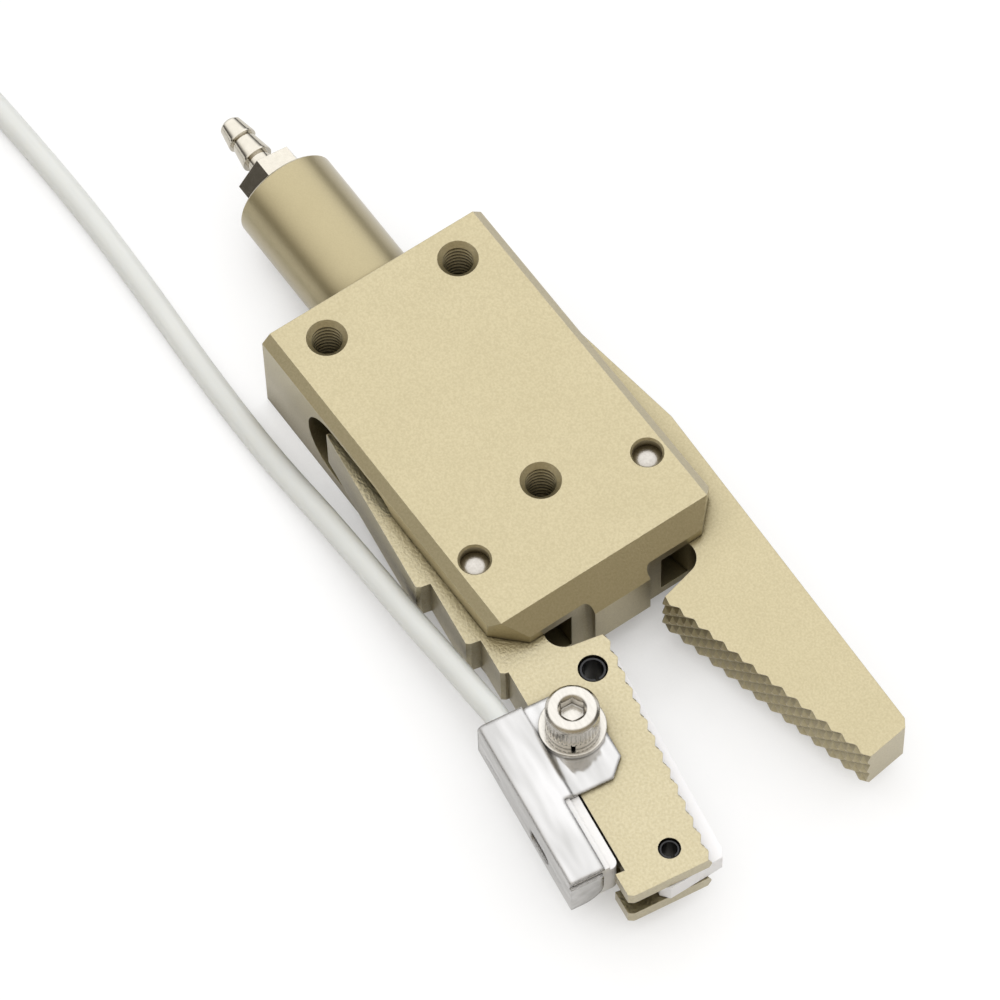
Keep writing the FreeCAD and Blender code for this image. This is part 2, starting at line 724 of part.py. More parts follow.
def sensing_lever():
    pivot = lever_pivot()
    rear = pivot[0] - LEVER_TAIL
    outer = JAW_FACE + LEVER_WIDTH
    waist = JAW_FACE + LEVER_WAIST
    head = JAW_FACE + LEVER_HEAD_WIDTH
    chamfer = LEVER_TIP_CHAMFER
    lean = math.tan(math.radians(LEVER_FRONT_LEAN))

    def front(across):
        return JAW_END - LEVER_FRONT_SETBACK + (across - JAW_FACE) * lean

    nose = lever_edge(JAW_END) + chamfer / 2
    nose_rear = front(nose) - chamfer
    points = [
        (rear, lever_edge(rear) + chamfer), (rear + chamfer, lever_edge(rear + chamfer)),
        (nose_rear, lever_edge(nose_rear)), (front(nose), nose),
        (front(head - chamfer), head - chamfer), (front(head) - chamfer, head),
        (LEVER_HEAD_START + head - waist, head), (LEVER_HEAD_START, waist),
        (pivot[0] + ROLL_PIN_RADIUS, outer), (rear + chamfer, outer), (rear, outer - chamfer),
    ]
    half = LEVER_THICKNESS / 2
    low = MID_HEIGHT - half
    high = MID_HEIGHT + half
    lever = polygon_plate(points, low, high)
    height = V(0, 0, LEVER_THICKNESS)
    foot = lift(pivot, low)
    lever = lever.cut(bar(ROLL_PIN_RADIUS + RUNNING_CLEARANCE, foot, foot + height))

    # The stop pin's slot follows the lever's travel
    stop = stop_pin_place()
    arm = (stop[0] - pivot[0], stop[1] - pivot[1])
    swung = turned(arm, -LEVER_TRAVEL)
    end = (pivot[0] + swung[0], pivot[1] + swung[1])
    radius = STOP_PIN_RADIUS + LEVER_CLEARANCE
    for place in (stop, end):
        lever = lever.cut(bar(radius, lift(place, low), lift(place, high)))
    span = V(end[0] - stop[0], end[1] - stop[1], 0)
    flank = span.cross(UP).normalize() * radius
    corners = [lift(stop) + flank, lift(end) + flank, lift(end) - flank, lift(stop) - flank]
    lever = lever.cut(polygon_plate([(corner.x, corner.y) for corner in corners], low, high))

    # Notch for the lever spring and hole for the magnet
    notch = LEVER_SPRING_RADIUS + LEVER_SPRING_WIRE / 2 + LEVER_CLEARANCE
    lever = lever.cut(box((LEVER_SPRING_ALONG - notch, waist - LEVER_SPRING_NOTCH, low),
                          (LEVER_SPRING_ALONG + notch, head, high)))
    lever = lever.cut(bar(MAGNET_RADIUS + PRESS_CLEARANCE, lift(magnet_place(), low),
                          lift(magnet_place(), high)))
    return on_finger(lever, SENSING_SIDE)


def magnet_place():
    return (JAW_END - MAGNET_BACK, JAW_FACE + MAGNET_DEPTH)


def lever_magnet():
    half = LEVER_THICKNESS / 2
    magnet = bar(MAGNET_RADIUS, lift(magnet_place(), MID_HEIGHT - half),
                 lift(magnet_place(), MID_HEIGHT + half))
    return on_finger(magnet, SENSING_SIDE)


def lever_spring():
    start = JAW_FACE + LEVER_WAIST - LEVER_SPRING_NOTCH + SPRING_END_GAP
    length = JAW_FACE + SLOT_DEPTH - SPRING_END_GAP - start
    base = V(LEVER_SPRING_ALONG, start, MID_HEIGHT)
    spring = coil_spring(LEVER_SPRING_RADIUS, LEVER_SPRING_WIRE, length, LEVER_SPRING_TURNS, base, ACROSS)
    return on_finger(spring, SENSING_SIDE)


def clip_point(along, out):
    # Along the finger's outer edge from the clip screw, and out from it
    shift = turned((along, out), -OUTER_SLOPE)
    return (CLIP_SCREW_ALONG + shift[0], outer_edge_height(CLIP_SCREW_ALONG) + shift[1])


def on_clip(solid):
    moved = solid.copy()
    moved.rotate(V(), UP, -OUTER_SLOPE)
    moved.translate(lift(clip_point(0, 0)))
    return on_finger(moved, SENSING_SIDE)


def channel_top():
    return FINGER_TOP + CLIP_SHEET + CHANNEL_STEP


def sensor_clip():
    top = channel_top()
    bottom = top - CLIP_WALL_HEIGHT
    sheet = CLIP_SHEET
    # Channel over the sensor: top, outer wall and the lip under the sensor
    channel = box((-CLIP_REAR, CHANNEL_INNER, bottom), (CLIP_FRONT, CHANNEL_OUTER, top))
    bends = [edge for edge in channel.Edges
             if abs(edge.Vertexes[0].Y - CHANNEL_OUTER) + abs(edge.Vertexes[1].Y - CHANNEL_OUTER) < sheet
             and abs(edge.Vertexes[0].Z - edge.Vertexes[1].Z) < sheet]
    channel = channel.makeFillet(CHANNEL_BEND, bends)
    hollow = box((-CLIP_REAR, CHANNEL_INNER - sheet, bottom + sheet),
                 (CLIP_FRONT, CHANNEL_OUTER - sheet, top - sheet))
    inner_bends = [edge for edge in hollow.Edges
                   if abs(edge.Vertexes[0].Y - edge.Vertexes[1].Y) < sheet
                   and abs(edge.Vertexes[0].Z - edge.Vertexes[1].Z) < sheet
                   and edge.Vertexes[0].Y > CHANNEL_FREE_EDGE]
    hollow = hollow.makeFillet(CHANNEL_BEND - sheet, inner_bends)
    channel = channel.cut(hollow)
    lip_edge = CHANNEL_OUTER - CLIP_LIP
    channel = channel.cut(box((-CLIP_REAR, CHANNEL_INNER, bottom), (CLIP_FRONT, lip_edge, bottom + sheet)))
    channel = channel.cut(box((FLANGE_FRONT, CHANNEL_INNER, top - sheet),
                              (CLIP_FRONT, CHANNEL_FREE_EDGE, top)))

    # Flange on the finger, with cut corners, and the riser up to the channel
    inner = sheet - FLANGE_WIDTH
    flange_top = FINGER_TOP + sheet
    flange = polygon_plate([
        (-CLIP_REAR, CHANNEL_INNER + sheet), (-CLIP_REAR, inner + FLANGE_CUT),
        (FLANGE_CUT - CLIP_REAR, inner), (FLANGE_FRONT - FLANGE_CUT, inner),
        (FLANGE_FRONT, inner + FLANGE_CUT), (FLANGE_FRONT, CHANNEL_INNER + sheet),
    ], FINGER_TOP, flange_top)
    riser = box((-CLIP_REAR, CHANNEL_INNER, FINGER_TOP), (FLANGE_FRONT, CHANNEL_INNER + sheet, top))
    hole = bar(SCREW_RADIUS + CLIP_HOLE_PLAY, V(0, -CLIP_SCREW_INSET, FINGER_TOP),
               V(0, -CLIP_SCREW_INSET, flange_top))

    # End flap folded across the front, rounded at its lower free corner
    flap_top = top - CHANNEL_BEND
    flap = box((CLIP_FRONT, CHANNEL_OUTER - FLAP_WIDTH, bottom + CHANNEL_BEND),
               (CLIP_FRONT + sheet, CHANNEL_OUTER, flap_top))
    corner = [edge for edge in flap.Edges
              if abs(edge.Vertexes[0].Y - CHANNEL_OUTER) > sheet
              and abs(edge.Vertexes[0].Z - flap_top) > sheet
              and abs(edge.Vertexes[0].X - edge.Vertexes[1].X) > sheet / 2]
    flap = flap.makeFillet(FLAP_CORNER, corner)

    # Window in the outer wall for the indicator
    window = obround(INDICATOR_START, INDICATOR_START + INDICATOR_LENGTH, CHANNEL_OUTER - sheet,
                     CHANNEL_OUTER, top - INDICATOR_DROP, INDICATOR_HEIGHT)
    clip = channel.fuse(flange).fuse(riser).fuse(flap).cut(hole).cut(window).removeSplitter()
    return on_clip(clip)


def sensor_low():
    return channel_top() - CLIP_WALL_HEIGHT + CLIP_SHEET + CLIP_CLEARANCE


def sensor_solid():
    high = channel_top() - CLIP_SHEET - CLIP_CLEARANCE
    rear = -CLIP_REAR + SENSOR_REAR_INSET
    front = CLIP_FRONT - CLIP_CLEARANCE
    outer = CHANNEL_OUTER - CLIP_SHEET - CLIP_CLEARANCE
    block = box((rear, SENSOR_GAP, sensor_low()), (front, outer, high))
    block = round_upright(block, [(front, SENSOR_GAP)], SENSOR_CORNER)
    bends = [edge for edge in block.Edges
             if abs(edge.Vertexes[0].Y - outer) + abs(edge.Vertexes[1].Y - outer) < CLIP_SHEET
             and abs(edge.Vertexes[0].Z - edge.Vertexes[1].Z) < CLIP_SHEET]
    block = block.makeFillet(CHANNEL_BEND - CLIP_SHEET, bends)
    # Rebate under the clip's riser
    rebate_edge = CHANNEL_INNER + CLIP_SHEET + CLIP_CLEARANCE
    return block.cut(box((rear, SENSOR_GAP, FINGER_TOP - CLIP_CLEARANCE), (front, rebate_edge, high)))


def indicator_solid():
    outer = CHANNEL_OUTER - CLIP_SHEET - CLIP_CLEARANCE
    return obround(INDICATOR_START, INDICATOR_START + INDICATOR_LENGTH, outer - INDICATOR_DEPTH, outer,
                   channel_top() - INDICATOR_DROP, INDICATOR_HEIGHT)


def sensor_body():
    return on_clip(sensor_solid().cut(indicator_solid()))


def sensor_indicator():
    return on_clip(indicator_solid())


def flat_washer():
    base = V(0, -CLIP_SCREW_INSET, FINGER_TOP + CLIP_SHEET)
    washer = ring(FLAT_WASHER_RADIUS, SCREW_RADIUS + WASHER_PLAY, base, base + UP * FLAT_WASHER_THICKNESS)
    return on_clip(washer)


def spring_washer():
    base = V(0, -CLIP_SCREW_INSET, FINGER_TOP + CLIP_SHEET + FLAT_WASHER_THICKNESS)
    washer = ring(SPRING_WASHER_RADIUS, SCREW_RADIUS + WASHER_PLAY, base,
                  base + UP * SPRING_WASHER_THICKNESS)
    half = SPRING_WASHER_SPLIT / 2
    low = box((base.x, base.y - half, base.z), (base.x + 2 * SPRING_WASHER_RADIUS, base.y + half,
                                               base.z + SPRING_WASHER_THICKNESS))
    washer = washer.cut(low)
    washer.rotate(base, UP, SCREW_TURN)
    return on_clip(washer)


def clip_screw():
    seat = FINGER_TOP + CLIP_SHEET + FLAT_WASHER_THICKNESS + SPRING_WASHER_THICKNESS
    head_top = SCREW_HEAD_HEIGHT
    chamfer = SCREW_HEAD_CHAMFER
    profile = [
        (-SCREW_LENGTH, 0), (-SCREW_LENGTH, SCREW_RADIUS - chamfer),
        (chamfer - SCREW_LENGTH, SCREW_RADIUS), (0, SCREW_RADIUS), (0, SCREW_HEAD_RADIUS),
        (head_top - chamfer, SCREW_HEAD_RADIUS), (head_top, SCREW_HEAD_RADIUS - chamfer), (head_top, 0),
    ]
    base = V(0, -CLIP_SCREW_INSET, seat)
    screw = turned_solid(profile, base, UP)
    socket = hexagon(SCREW_SOCKET_FLATS).extrude(V(0, 0, SCREW_SOCKET_DEPTH))
    socket.rotate(V(), UP, SCREW_TURN)
    socket.translate(base + UP * (head_top - SCREW_SOCKET_DEPTH))
    mouth_radius = SCREW_SOCKET_FLATS / math.sqrt(3) + SCREW_SOCKET_MOUTH
    mouth = turned_solid([(0, 0), (0, mouth_radius), (-mouth_radius, 0)], base + UP * head_top, UP)
    screw = screw.cut(socket).cut(mouth)
    # Fine upright grooves round the head
    groove = Part.Face(Part.makePolygon([
        V(SCREW_HEAD_RADIUS - SCREW_GROOVE_DEPTH, 0, 0),
        V(SCREW_HEAD_RADIUS + SCREW_GROOVE_DEPTH, 2 * SCREW_GROOVE_DEPTH, 0),
        V(SCREW_HEAD_RADIUS + SCREW_GROOVE_DEPTH, -2 * SCREW_GROOVE_DEPTH, 0),
        V(SCREW_HEAD_RADIUS - SCREW_GROOVE_DEPTH, 0, 0),
    ])).extrude(V(0, 0, head_top - SCREW_GROOVE_TOP))
    grooves = []
    for index in range(SCREW_GROOVES):
        cutter = groove.copy()
        cutter.rotate(V(), UP, 360 * index / SCREW_GROOVES)
        cutter.translate(base)
        grooves.append(cutter)
    return on_clip(screw.cut(Part.makeCompound(grooves)))


def hexagon(flats):
    corner = flats / math.sqrt(3)
    points = [V(*turned((corner, 0), 60 * index), 0) for index in range(6)]
    return Part.Face(Part.makePolygon(points + [points[0]]))


def cylinder_barrel():
    length = BARREL_LENGTH
    rim = BARREL_RIM_CHAMFER
    recess = GASKET_RADIUS + PRESS_CLEARANCE
    profile = [
        (GASKET_THICKNESS, PORT_RADIUS + PRESS_CLEARANCE), (GASKET_THICKNESS, recess), (0, recess),
        (0, BARREL_RADIUS - rim), (rim, BARREL_RADIUS), (length, BARREL_RADIUS),
        (length, SPIGOT_RADIUS), (length + SPIGOT_LENGTH, SPIGOT_RADIUS),
        (length + SPIGOT_LENGTH, BARREL_BORE_RADIUS), (BARREL_END_WALL, BARREL_BORE_RADIUS),
        (BARREL_END_WALL, PORT_RADIUS + PRESS_CLEARANCE),
    ]
    return turned_solid(profile, V(BARREL_REAR, 0, MID_HEIGHT), FORWARD)


def hose_barb():
    # Distances run back from the hexagon's seat on the barrel
    first, second = BARB_RIDGE_RADII
    neck = HEX_LENGTH + BARB_NECK_LENGTH
    ridge = neck + BARB_RIDGE_LENGTH
    tip = ridge + BARB_TIP_LENGTH
    profile = [
        (-BARREL_END_WALL, BARB_BORE_RADIUS), (-BARREL_END_WALL, PORT_RADIUS), (0, PORT_RADIUS),
        (HEX_LENGTH, PORT_RADIUS), (HEX_LENGTH, BARB_NECK_RADIUS), (neck, BARB_NECK_RADIUS), (neck, first),
        (neck + BARB_RIDGE_LAND, first), (ridge, BARB_NECK_RADIUS), (ridge, second),
        (ridge + BARB_RIDGE_LAND, second), (tip - BARB_TIP_ROUNDING, BARB_TIP_RADIUS),
        (tip, BARB_TIP_RADIUS - BARB_TIP_ROUNDING), (tip, BARB_BORE_RADIUS),
    ]
    back = -FORWARD
    base = V(BARREL_REAR, 0, MID_HEIGHT)
    barb = turned_solid(profile, base, back)
    nut = hexagon(HEX_FLATS).extrude(V(0, 0, HEX_LENGTH))
    nut.rotate(V(), UP, HEX_TURN)
    nut.Placement = FreeCAD.Placement(base, FreeCAD.Rotation(UP, back)).multiply(nut.Placement)
    bore = bar(BARB_BORE_RADIUS, base, base + back * HEX_LENGTH)
    return barb.fuse(nut.cut(bore)).removeSplitter()


def port_gasket():
    base = V(BARREL_REAR, 0, MID_HEIGHT)
    return ring(GASKET_RADIUS, PORT_RADIUS + PRESS_CLEARANCE, base, base + FORWARD * GASKET_THICKNESS)


def piston():
    radius = BARREL_BORE_RADIUS - RUNNING_CLEARANCE
    groove_start = (PISTON_LENGTH - PISTON_SEAL_WIDTH) / 2
    groove_end = groove_start + PISTON_SEAL_WIDTH
    floor = BARREL_BORE_RADIUS - PISTON_SEAL_DEPTH
    inner = ROD_STUD_RADIUS + PRESS_CLEARANCE
    profile = [
        (0, inner), (0, radius), (groove_start, radius), (groove_start, floor), (groove_end, floor),
        (groove_end, radius), (PISTON_LENGTH, radius), (PISTON_LENGTH, inner),
    ]
    return turned_solid(profile, V(PISTON_REAR, 0, MID_HEIGHT), FORWARD)


def piston_seal():
    floor = BARREL_BORE_RADIUS - PISTON_SEAL_DEPTH + PRESS_CLEARANCE
    outer = BARREL_BORE_RADIUS - SEAL_CLEARANCE
    width = PISTON_SEAL_WIDTH - 2 * PRESS_CLEARANCE
    lip = width / 3
    profile = [(0, floor), (0, outer - lip), (lip, outer), (width - lip, outer), (width, outer - lip),
               (width, floor)]
    start = PISTON_REAR + (PISTON_LENGTH - PISTON_SEAL_WIDTH) / 2 + PRESS_CLEARANCE
    return turned_solid(profile, V(start, 0, MID_HEIGHT), FORWARD)


def nose_rear():
    return -PUSH_NOSE_BEHIND - PUSH_NOSE_LENGTH


def piston_rod():
    axis = V(0, 0, MID_HEIGHT)
    shank = bar(ROD_RADIUS, axis + FORWARD * PISTON_FRONT, axis + FORWARD * nose_rear())
    rear_stud = bar(ROD_STUD_RADIUS, axis + FORWARD * PISTON_REAR, axis + FORWARD * PISTON_FRONT)
    front_stud = bar(ROD_STUD_RADIUS, axis + FORWARD * nose_rear(),
                     axis + FORWARD * (nose_rear() + ROD_STUD_LENGTH))
    return shank.fuse([rear_stud, front_stud]).removeSplitter()


def push_nose():
    centre = V(-PUSH_NOSE_BEHIND, 0, MID_HEIGHT)
    rear = V(nose_rear(), 0, MID_HEIGHT)
    nose = bar(PUSH_NOSE_RADIUS, rear, centre).fuse(Part.makeSphere(PUSH_NOSE_RADIUS, centre))
    nose = nose.removeSplitter()
    return nose.cut(bar(ROD_STUD_RADIUS + PRESS_CLEARANCE, rear, rear + FORWARD * ROD_STUD_LENGTH))


def rod_bush():
    axis = V(0, 0, MID_HEIGHT)
    front = -WINDOW_BEHIND - BUSH_FRONT_INSET
    return ring(BUSH_RADIUS, ROD_RADIUS + RUNNING_CLEARANCE, axis + FORWARD * SPIGOT_FRONT,
                axis + FORWARD * front)


def return_spring():
    length = SPIGOT_FRONT - PISTON_FRONT - 2 * SPRING_END_GAP
    base = V(PISTON_FRONT + SPRING_END_GAP, 0, MID_HEIGHT)
    return coil_spring(RETURN_SPRING_RADIUS, RETURN_SPRING_WIRE, length, RETURN_SPRING_TURNS, base, FORWARD)


def opening_spring():
    reach = spring_reach() - SPRING_END_GAP
    base = V(OPENING_SPRING_AHEAD, -reach, MID_HEIGHT)
    return coil_spring(OPENING_SPRING_RADIUS, OPENING_SPRING_WIRE, 2 * reach, OPENING_SPRING_TURNS,
                       base, ACROSS)


def cable_exit():
    # Middle of the sensor's rear face, in the clamp
    box_of_sensor = sensor_solid().BoundBox
    return on_clip(Part.Vertex(box_of_sensor.XMin, box_of_sensor.Center.y, box_of_sensor.Center.z)).Point


def smooth_tube(points, radius):
    # Straight runs joined by tangent arcs as large as the runs allow
    edges = []
    radii = []
    here = points[0]
    for before, corner, after in zip(points, points[1:], points[2:]):
        back = before - corner
        ahead = after - corner
        turn = math.pi - back.getAngle(ahead)
        cut = CABLE_ARC_SHARE * min(back.Length, ahead.Length)
        radii.append(cut / math.tan(turn / 2))
        start = corner + back.normalize() * cut
        end = corner + ahead.normalize() * cut
        bow = (back + ahead).normalize() * (radii[-1] / math.cos(turn / 2) - radii[-1])
        edges.append(Part.LineSegment(here, start).toShape())
        edges.append(Part.Arc(start, corner + bow, end).toShape())
        here = end
    edges.append(Part.LineSegment(here, points[-1]).toShape())
    path = Part.Wire(edges)
    section = Part.Wire(Part.makeCircle(radius, points[0], points[1] - points[0]))
    tube = path.makePipeShell([section], True, True)
    print("bend radii", [round(value, 1) for value in radii])
    print("length", round(path.Length, 1), "volume share",
          round(tube.Volume / (math.pi * radius ** 2 * path.Length), 4))
    return tube


def coil_room(clearance):
    # Outer shape of the coil, as a turned ring with rounded edges
    low = TIE_THICKNESS - clearance
    high = TIE_THICKNESS + COIL_HEIGHT + clearance
    inner = COIL_INNER_RADIUS - clearance
    outer = COIL_OUTER_RADIUS + clearance
    edge = COIL_EDGE
    profile = [
        (low, inner + edge), (low, outer - edge), (low + edge, outer), (high - edge, outer),
        (high, outer - edge), (high, inner + edge), (high - edge, inner), (low + edge, inner),
    ]
    return turned_solid(profile, lift(COIL_CENTRE), UP)


def sensor_cable():
    points = [cable_exit()] + [V(*point) for point in CABLE_ROUTE]
    tube = smooth_tube(points, CABLE_RADIUS).cut(coil_room(TUBE_END_CLEARANCE))
    return tube.cut(on_clip(sensor_solid()))


def cable_end():
    points = [V(*point) for point in CABLE_END_ROUTE]
    return smooth_tube(points, CABLE_RADIUS).cut(coil_room(TUBE_END_CLEARANCE))


def cable_tie():
    centre = lift(COIL_CENTRE)
    half = TIE_WIDTH / 2
    high = 2 * TIE_THICKNESS + COIL_HEIGHT
    near = centre.x - COIL_INNER_RADIUS + TIE_THICKNESS
    far = centre.x - COIL_OUTER_RADIUS - TIE_THICKNESS
    band = box((far, centre.y - half, 0), (near, centre.y + half, high))
    head = box((far - TIE_HEAD, centre.y - half - TIE_THICKNESS, high / 2 - half),
               (far, centre.y + half + TIE_THICKNESS, high / 2 + half))
    return band.fuse(head).cut(coil_room(TIE_CLEARANCE))


def lead_wires(sheath):
    # Stripped wires fanning out of the cable's end
    last = V(*CABLE_END_ROUTE[-1])
    heading = last - V(*CABLE_END_ROUTE[-2])
    heading.z = 0
    heading.normalize()
    side = heading.cross(UP)
    wires = []
    for turn in (-1, 0, 1):
        foot = last + side * (turn * 2 * (WIRE_RADIUS + TIE_CLEARANCE))
        way = turned((heading.x, heading.y), -turn * WIRE_FAN)
        tube = bar(WIRE_RADIUS, foot - heading * CABLE_RADIUS, foot + lift(way) * WIRE_LENGTH)
        wires.append(tube.cut(sheath))
    return Part.makeCompound(wires)


CABLE_END = cable_end()
SUB_PARTS = {
    "body_block": body_block(),
    "pivot_pin_plain": pivot_pin(PLAIN_SIDE),
    "pivot_pin_sensing": pivot_pin(SENSING_SIDE),
    "plain_finger": plain_finger(),
    "sensing_finger": sensing_finger(),
    "lever_pivot_pin": roll_pin(lever_pivot(), ROLL_PIN_RADIUS, ROLL_PIN_WALL),
    "lever_stop_pin": roll_pin(stop_pin_place(), STOP_PIN_RADIUS, STOP_PIN_WALL),
    "sensing_lever": sensing_lever(),
    "lever_magnet": lever_magnet(),
    "lever_spring": lever_spring(),
    "sensor_clip": sensor_clip(),
    "sensor_body": sensor_body(),
    "sensor_indicator": sensor_indicator(),
    "flat_washer": flat_washer(),
    "spring_washer": spring_washer(),
    "clip_screw": clip_screw(),
    "cylinder_barrel": cylinder_barrel(),
    "hose_barb": hose_barb(),
    "port_gasket": port_gasket(),
    "piston": piston(),
    "piston_seal": piston_seal(),
    "piston_rod": piston_rod(),
    "push_nose": push_nose(),
    "rod_bush": rod_bush(),
    "return_spring": return_spring(),
    "opening_spring": opening_spring(),
    "sensor_cable": sensor_cable(),
    "cable_coil": coil_room(0),
    "cable_end": CABLE_END,
    "cable_tie": cable_tie(),
    "lead_wires": lead_wires(CABLE_END),
}

os.makedirs("parts", exist_ok=True)
for node, shape in SUB_PARTS.items():
    shape.exportStep("parts/" + node + ".step")
    low = shape.BoundBox
    print(node, "valid", shape.isValid(), "solids", len(shape.Solids), "volume", round(shape.Volume, 2),
          "x", round(low.XMin, 2), round(low.XMax, 2), "y", round(low.YMin, 2), round(low.YMax, 2),
          "z", round(low.ZMin, 2), round(low.ZMax, 2))
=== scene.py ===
# %% [markdown]
# # Pneumatic nozzle clamp
# This clamp takes the sprue of a moulded part out of its mould. Two knurled fingers swing shut when air pushes a
# piston forward, and a white lever in one jaw tells a sensor that something is held. The hard pieces come from the
# frame at their real size. What is made here is what a hard solid leaves plain: the finish of each surface, the
# soft cable with its tie and its bare wires, the springs that give way, the light and the camera.

# %% Load the frame
import math

import bpy
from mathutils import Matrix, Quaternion, Vector


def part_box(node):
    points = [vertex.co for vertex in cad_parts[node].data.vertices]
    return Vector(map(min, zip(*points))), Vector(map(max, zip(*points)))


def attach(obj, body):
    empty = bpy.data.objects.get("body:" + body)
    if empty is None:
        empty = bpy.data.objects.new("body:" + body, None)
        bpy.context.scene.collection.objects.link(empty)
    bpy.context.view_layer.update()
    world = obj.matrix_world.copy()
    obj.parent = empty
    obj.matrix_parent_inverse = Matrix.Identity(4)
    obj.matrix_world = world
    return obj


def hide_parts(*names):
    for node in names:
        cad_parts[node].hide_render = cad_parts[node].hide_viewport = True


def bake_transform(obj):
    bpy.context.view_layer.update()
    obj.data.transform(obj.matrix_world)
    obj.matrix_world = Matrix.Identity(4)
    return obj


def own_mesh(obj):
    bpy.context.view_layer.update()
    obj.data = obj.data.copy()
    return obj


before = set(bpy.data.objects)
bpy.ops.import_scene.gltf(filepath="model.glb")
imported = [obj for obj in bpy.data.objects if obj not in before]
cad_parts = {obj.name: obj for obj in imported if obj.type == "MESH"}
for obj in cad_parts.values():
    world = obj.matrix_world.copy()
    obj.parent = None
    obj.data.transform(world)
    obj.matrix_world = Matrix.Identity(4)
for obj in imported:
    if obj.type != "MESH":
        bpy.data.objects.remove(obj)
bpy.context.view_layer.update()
MM = 0.001
scene = bpy.context.scene
scene.view_settings.view_transform = "Standard"

# %% [markdown]
# ## Camera
# The clamp is seen from above and from the front right, through a long lens, so its edges stay almost parallel.
# A camera can be aimed with a constraint, but a heading worked out from azimuth, elevation and roll shows what each
# number does, and leaves nothing live in the file.

# %% Camera
CAMERA_AZIMUTH = math.radians(56.71)
CAMERA_ELEVATION = math.radians(60.82)
CAMERA_ROLL = math.radians(-1.953)
CAMERA_DISTANCE = 800 * MM
CAMERA_LENS = 217.2
CAMERA_TARGET = Vector((-0.69, -6.13, 16.0)) * MM

back = Vector((
    math.sin(CAMERA_AZIMUTH) * math.cos(CAMERA_ELEVATION),
    -math.cos(CAMERA_AZIMUTH) * math.cos(CAMERA_ELEVATION),
    math.sin(CAMERA_ELEVATION),
))
bpy.ops.object.select_all(action="DESELECT")
bpy.ops.object.camera_add(location=CAMERA_TARGET + back * CAMERA_DISTANCE)
camera = bpy.context.object
camera.name = "photo_camera"
camera.data.lens = CAMERA_LENS
camera.rotation_mode = "QUATERNION"
camera.rotation_quaternion = (-back).to_track_quat("-Z", "Y") @ Quaternion((0, 0, 1), CAMERA_ROLL)
scene.camera = camera
print("camera at", [round(value / MM) for value in camera.location], "mm")

# %% [markdown]
# ## Sensor cable
# The sensor's lead is a 3.5 mm round cable. It sinks slowly from the sensor to the table, runs back beside the clamp in
# long lazy bends, and the rest of it is wound into a tied coil, as for storage. A cable is one smooth line, so a single
# NURBS spline holds its route, and the coil's turns are worked out by a loop: a spiral inwards on the table, a climb
# at the middle, and a spiral outwards on top.

# %% Route of the cable
CABLE_RADIUS = 1.75 * MM
CABLE_ROUTE = [
    (25.79, -23.38, 9.25),
    (22.3, -22.92, 9.1),
    (19.0, -23.15, 8.9),
    (12.4, -23.25, 8.4),
    (4.0, -23.45, 7.4),
    (-4.0, -23.45, 6.5),
    (-11.0, -23.4, 5.5),
    (-18.0, -23.3, 4.2),
    (-26.0, -23.45, 2.8),
    (-34.0, -23.5, 2.0),
    (-47.0, -23.3, 1.8),
    (-62.0, -22.6, 1.8),
    (-78.0, -22.2, 1.8),
    (-94.0, -22.7, 1.8),
    (-109.0, -23.6, 1.8),
    (-122.0, -23.3, 1.85),
    (-135.0, -22.9, 2.2),
]
CABLE_END_ROUTE = [
    (-154.0, -22.5, 5.8),
    (-162.0, -22.2, 4.8),
    (-171.0, -21.5, 2.7),
    (-179.0, -20.7, 1.8),
]
COIL_CENTRE = (-145.0, 3.7)
COIL_OUTER_TURN = 26.6
COIL_PITCH = 3.6
COIL_LAYERS = (2.5, 6.05)
COIL_TURNS_PER_LAYER = 3
COIL_POINTS_PER_TURN = 16
COIL_CLIMB_TURNS = 0.5


def coil_points():
    """Turns of the coil in millimetres: inwards on the table, then outwards on top."""
    points = []
    for step in range(2 * COIL_TURNS_PER_LAYER * COIL_POINTS_PER_TURN + 1):
        turn = step / COIL_POINTS_PER_TURN
        past_middle = turn - COIL_TURNS_PER_LAYER
        radius = COIL_OUTER_TURN - COIL_PITCH * (COIL_TURNS_PER_LAYER - abs(past_middle))
        climb = min(max(past_middle / COIL_CLIMB_TURNS + 0.5, 0.0), 1.0)
        height = COIL_LAYERS[0] + (COIL_LAYERS[1] - COIL_LAYERS[0]) * climb
        angle = -math.radians(90) - math.tau * turn
        points.append((
            COIL_CENTRE[0] + radius * math.cos(angle), COIL_CENTRE[1] + radius * math.sin(angle), height,
        ))
    return points


cable_points = CABLE_ROUTE + coil_points() + CABLE_END_ROUTE
print("cable route has", len(cable_points), "points")

# %% Cable
CABLE_STEPS = 6
CABLE_SIDES = 5

line = bpy.data.curves.new("sensor_lead", "CURVE")
line.dimensions = "3D"
line.resolution_u = CABLE_STEPS
spline = line.splines.new("NURBS")
spline.points.add(len(cable_points) - 1)
for control, place in zip(spline.points, cable_points):
    control.co = (*(Vector(place) * MM), 1.0)
spline.order_u = 3
spline.use_endpoint_u = True
cable = bpy.data.objects.new("sensor_lead", line)
scene.collection.objects.link(cable)

bpy.context.view_layer.update()
centreline = bpy.data.meshes.new_from_object(cable)
bpy.data.meshes.remove(centreline)

line.bevel_depth = CABLE_RADIUS
line.bevel_resolution = CABLE_SIDES
line.use_fill_caps = True
bpy.ops.object.select_all(action="DESELECT")
cable.select_set(True)
bpy.context.view_layer.objects.active = cable
bpy.ops.object.convert(target="MESH")
bpy.ops.object.shade_smooth_by_angle()

# %% [markdown]
# ## Cable tie
# A nylon tie goes once round the coil's bundle and through its own square head. A band could be a bevelled curve,
# but a box with its two ends taken off, its corners rounded and its wall thickened is how a band is drawn by hand,
# and the wall then has the same thickness all the way round.

# %% Picking faces and edges
ALONG = 0.9


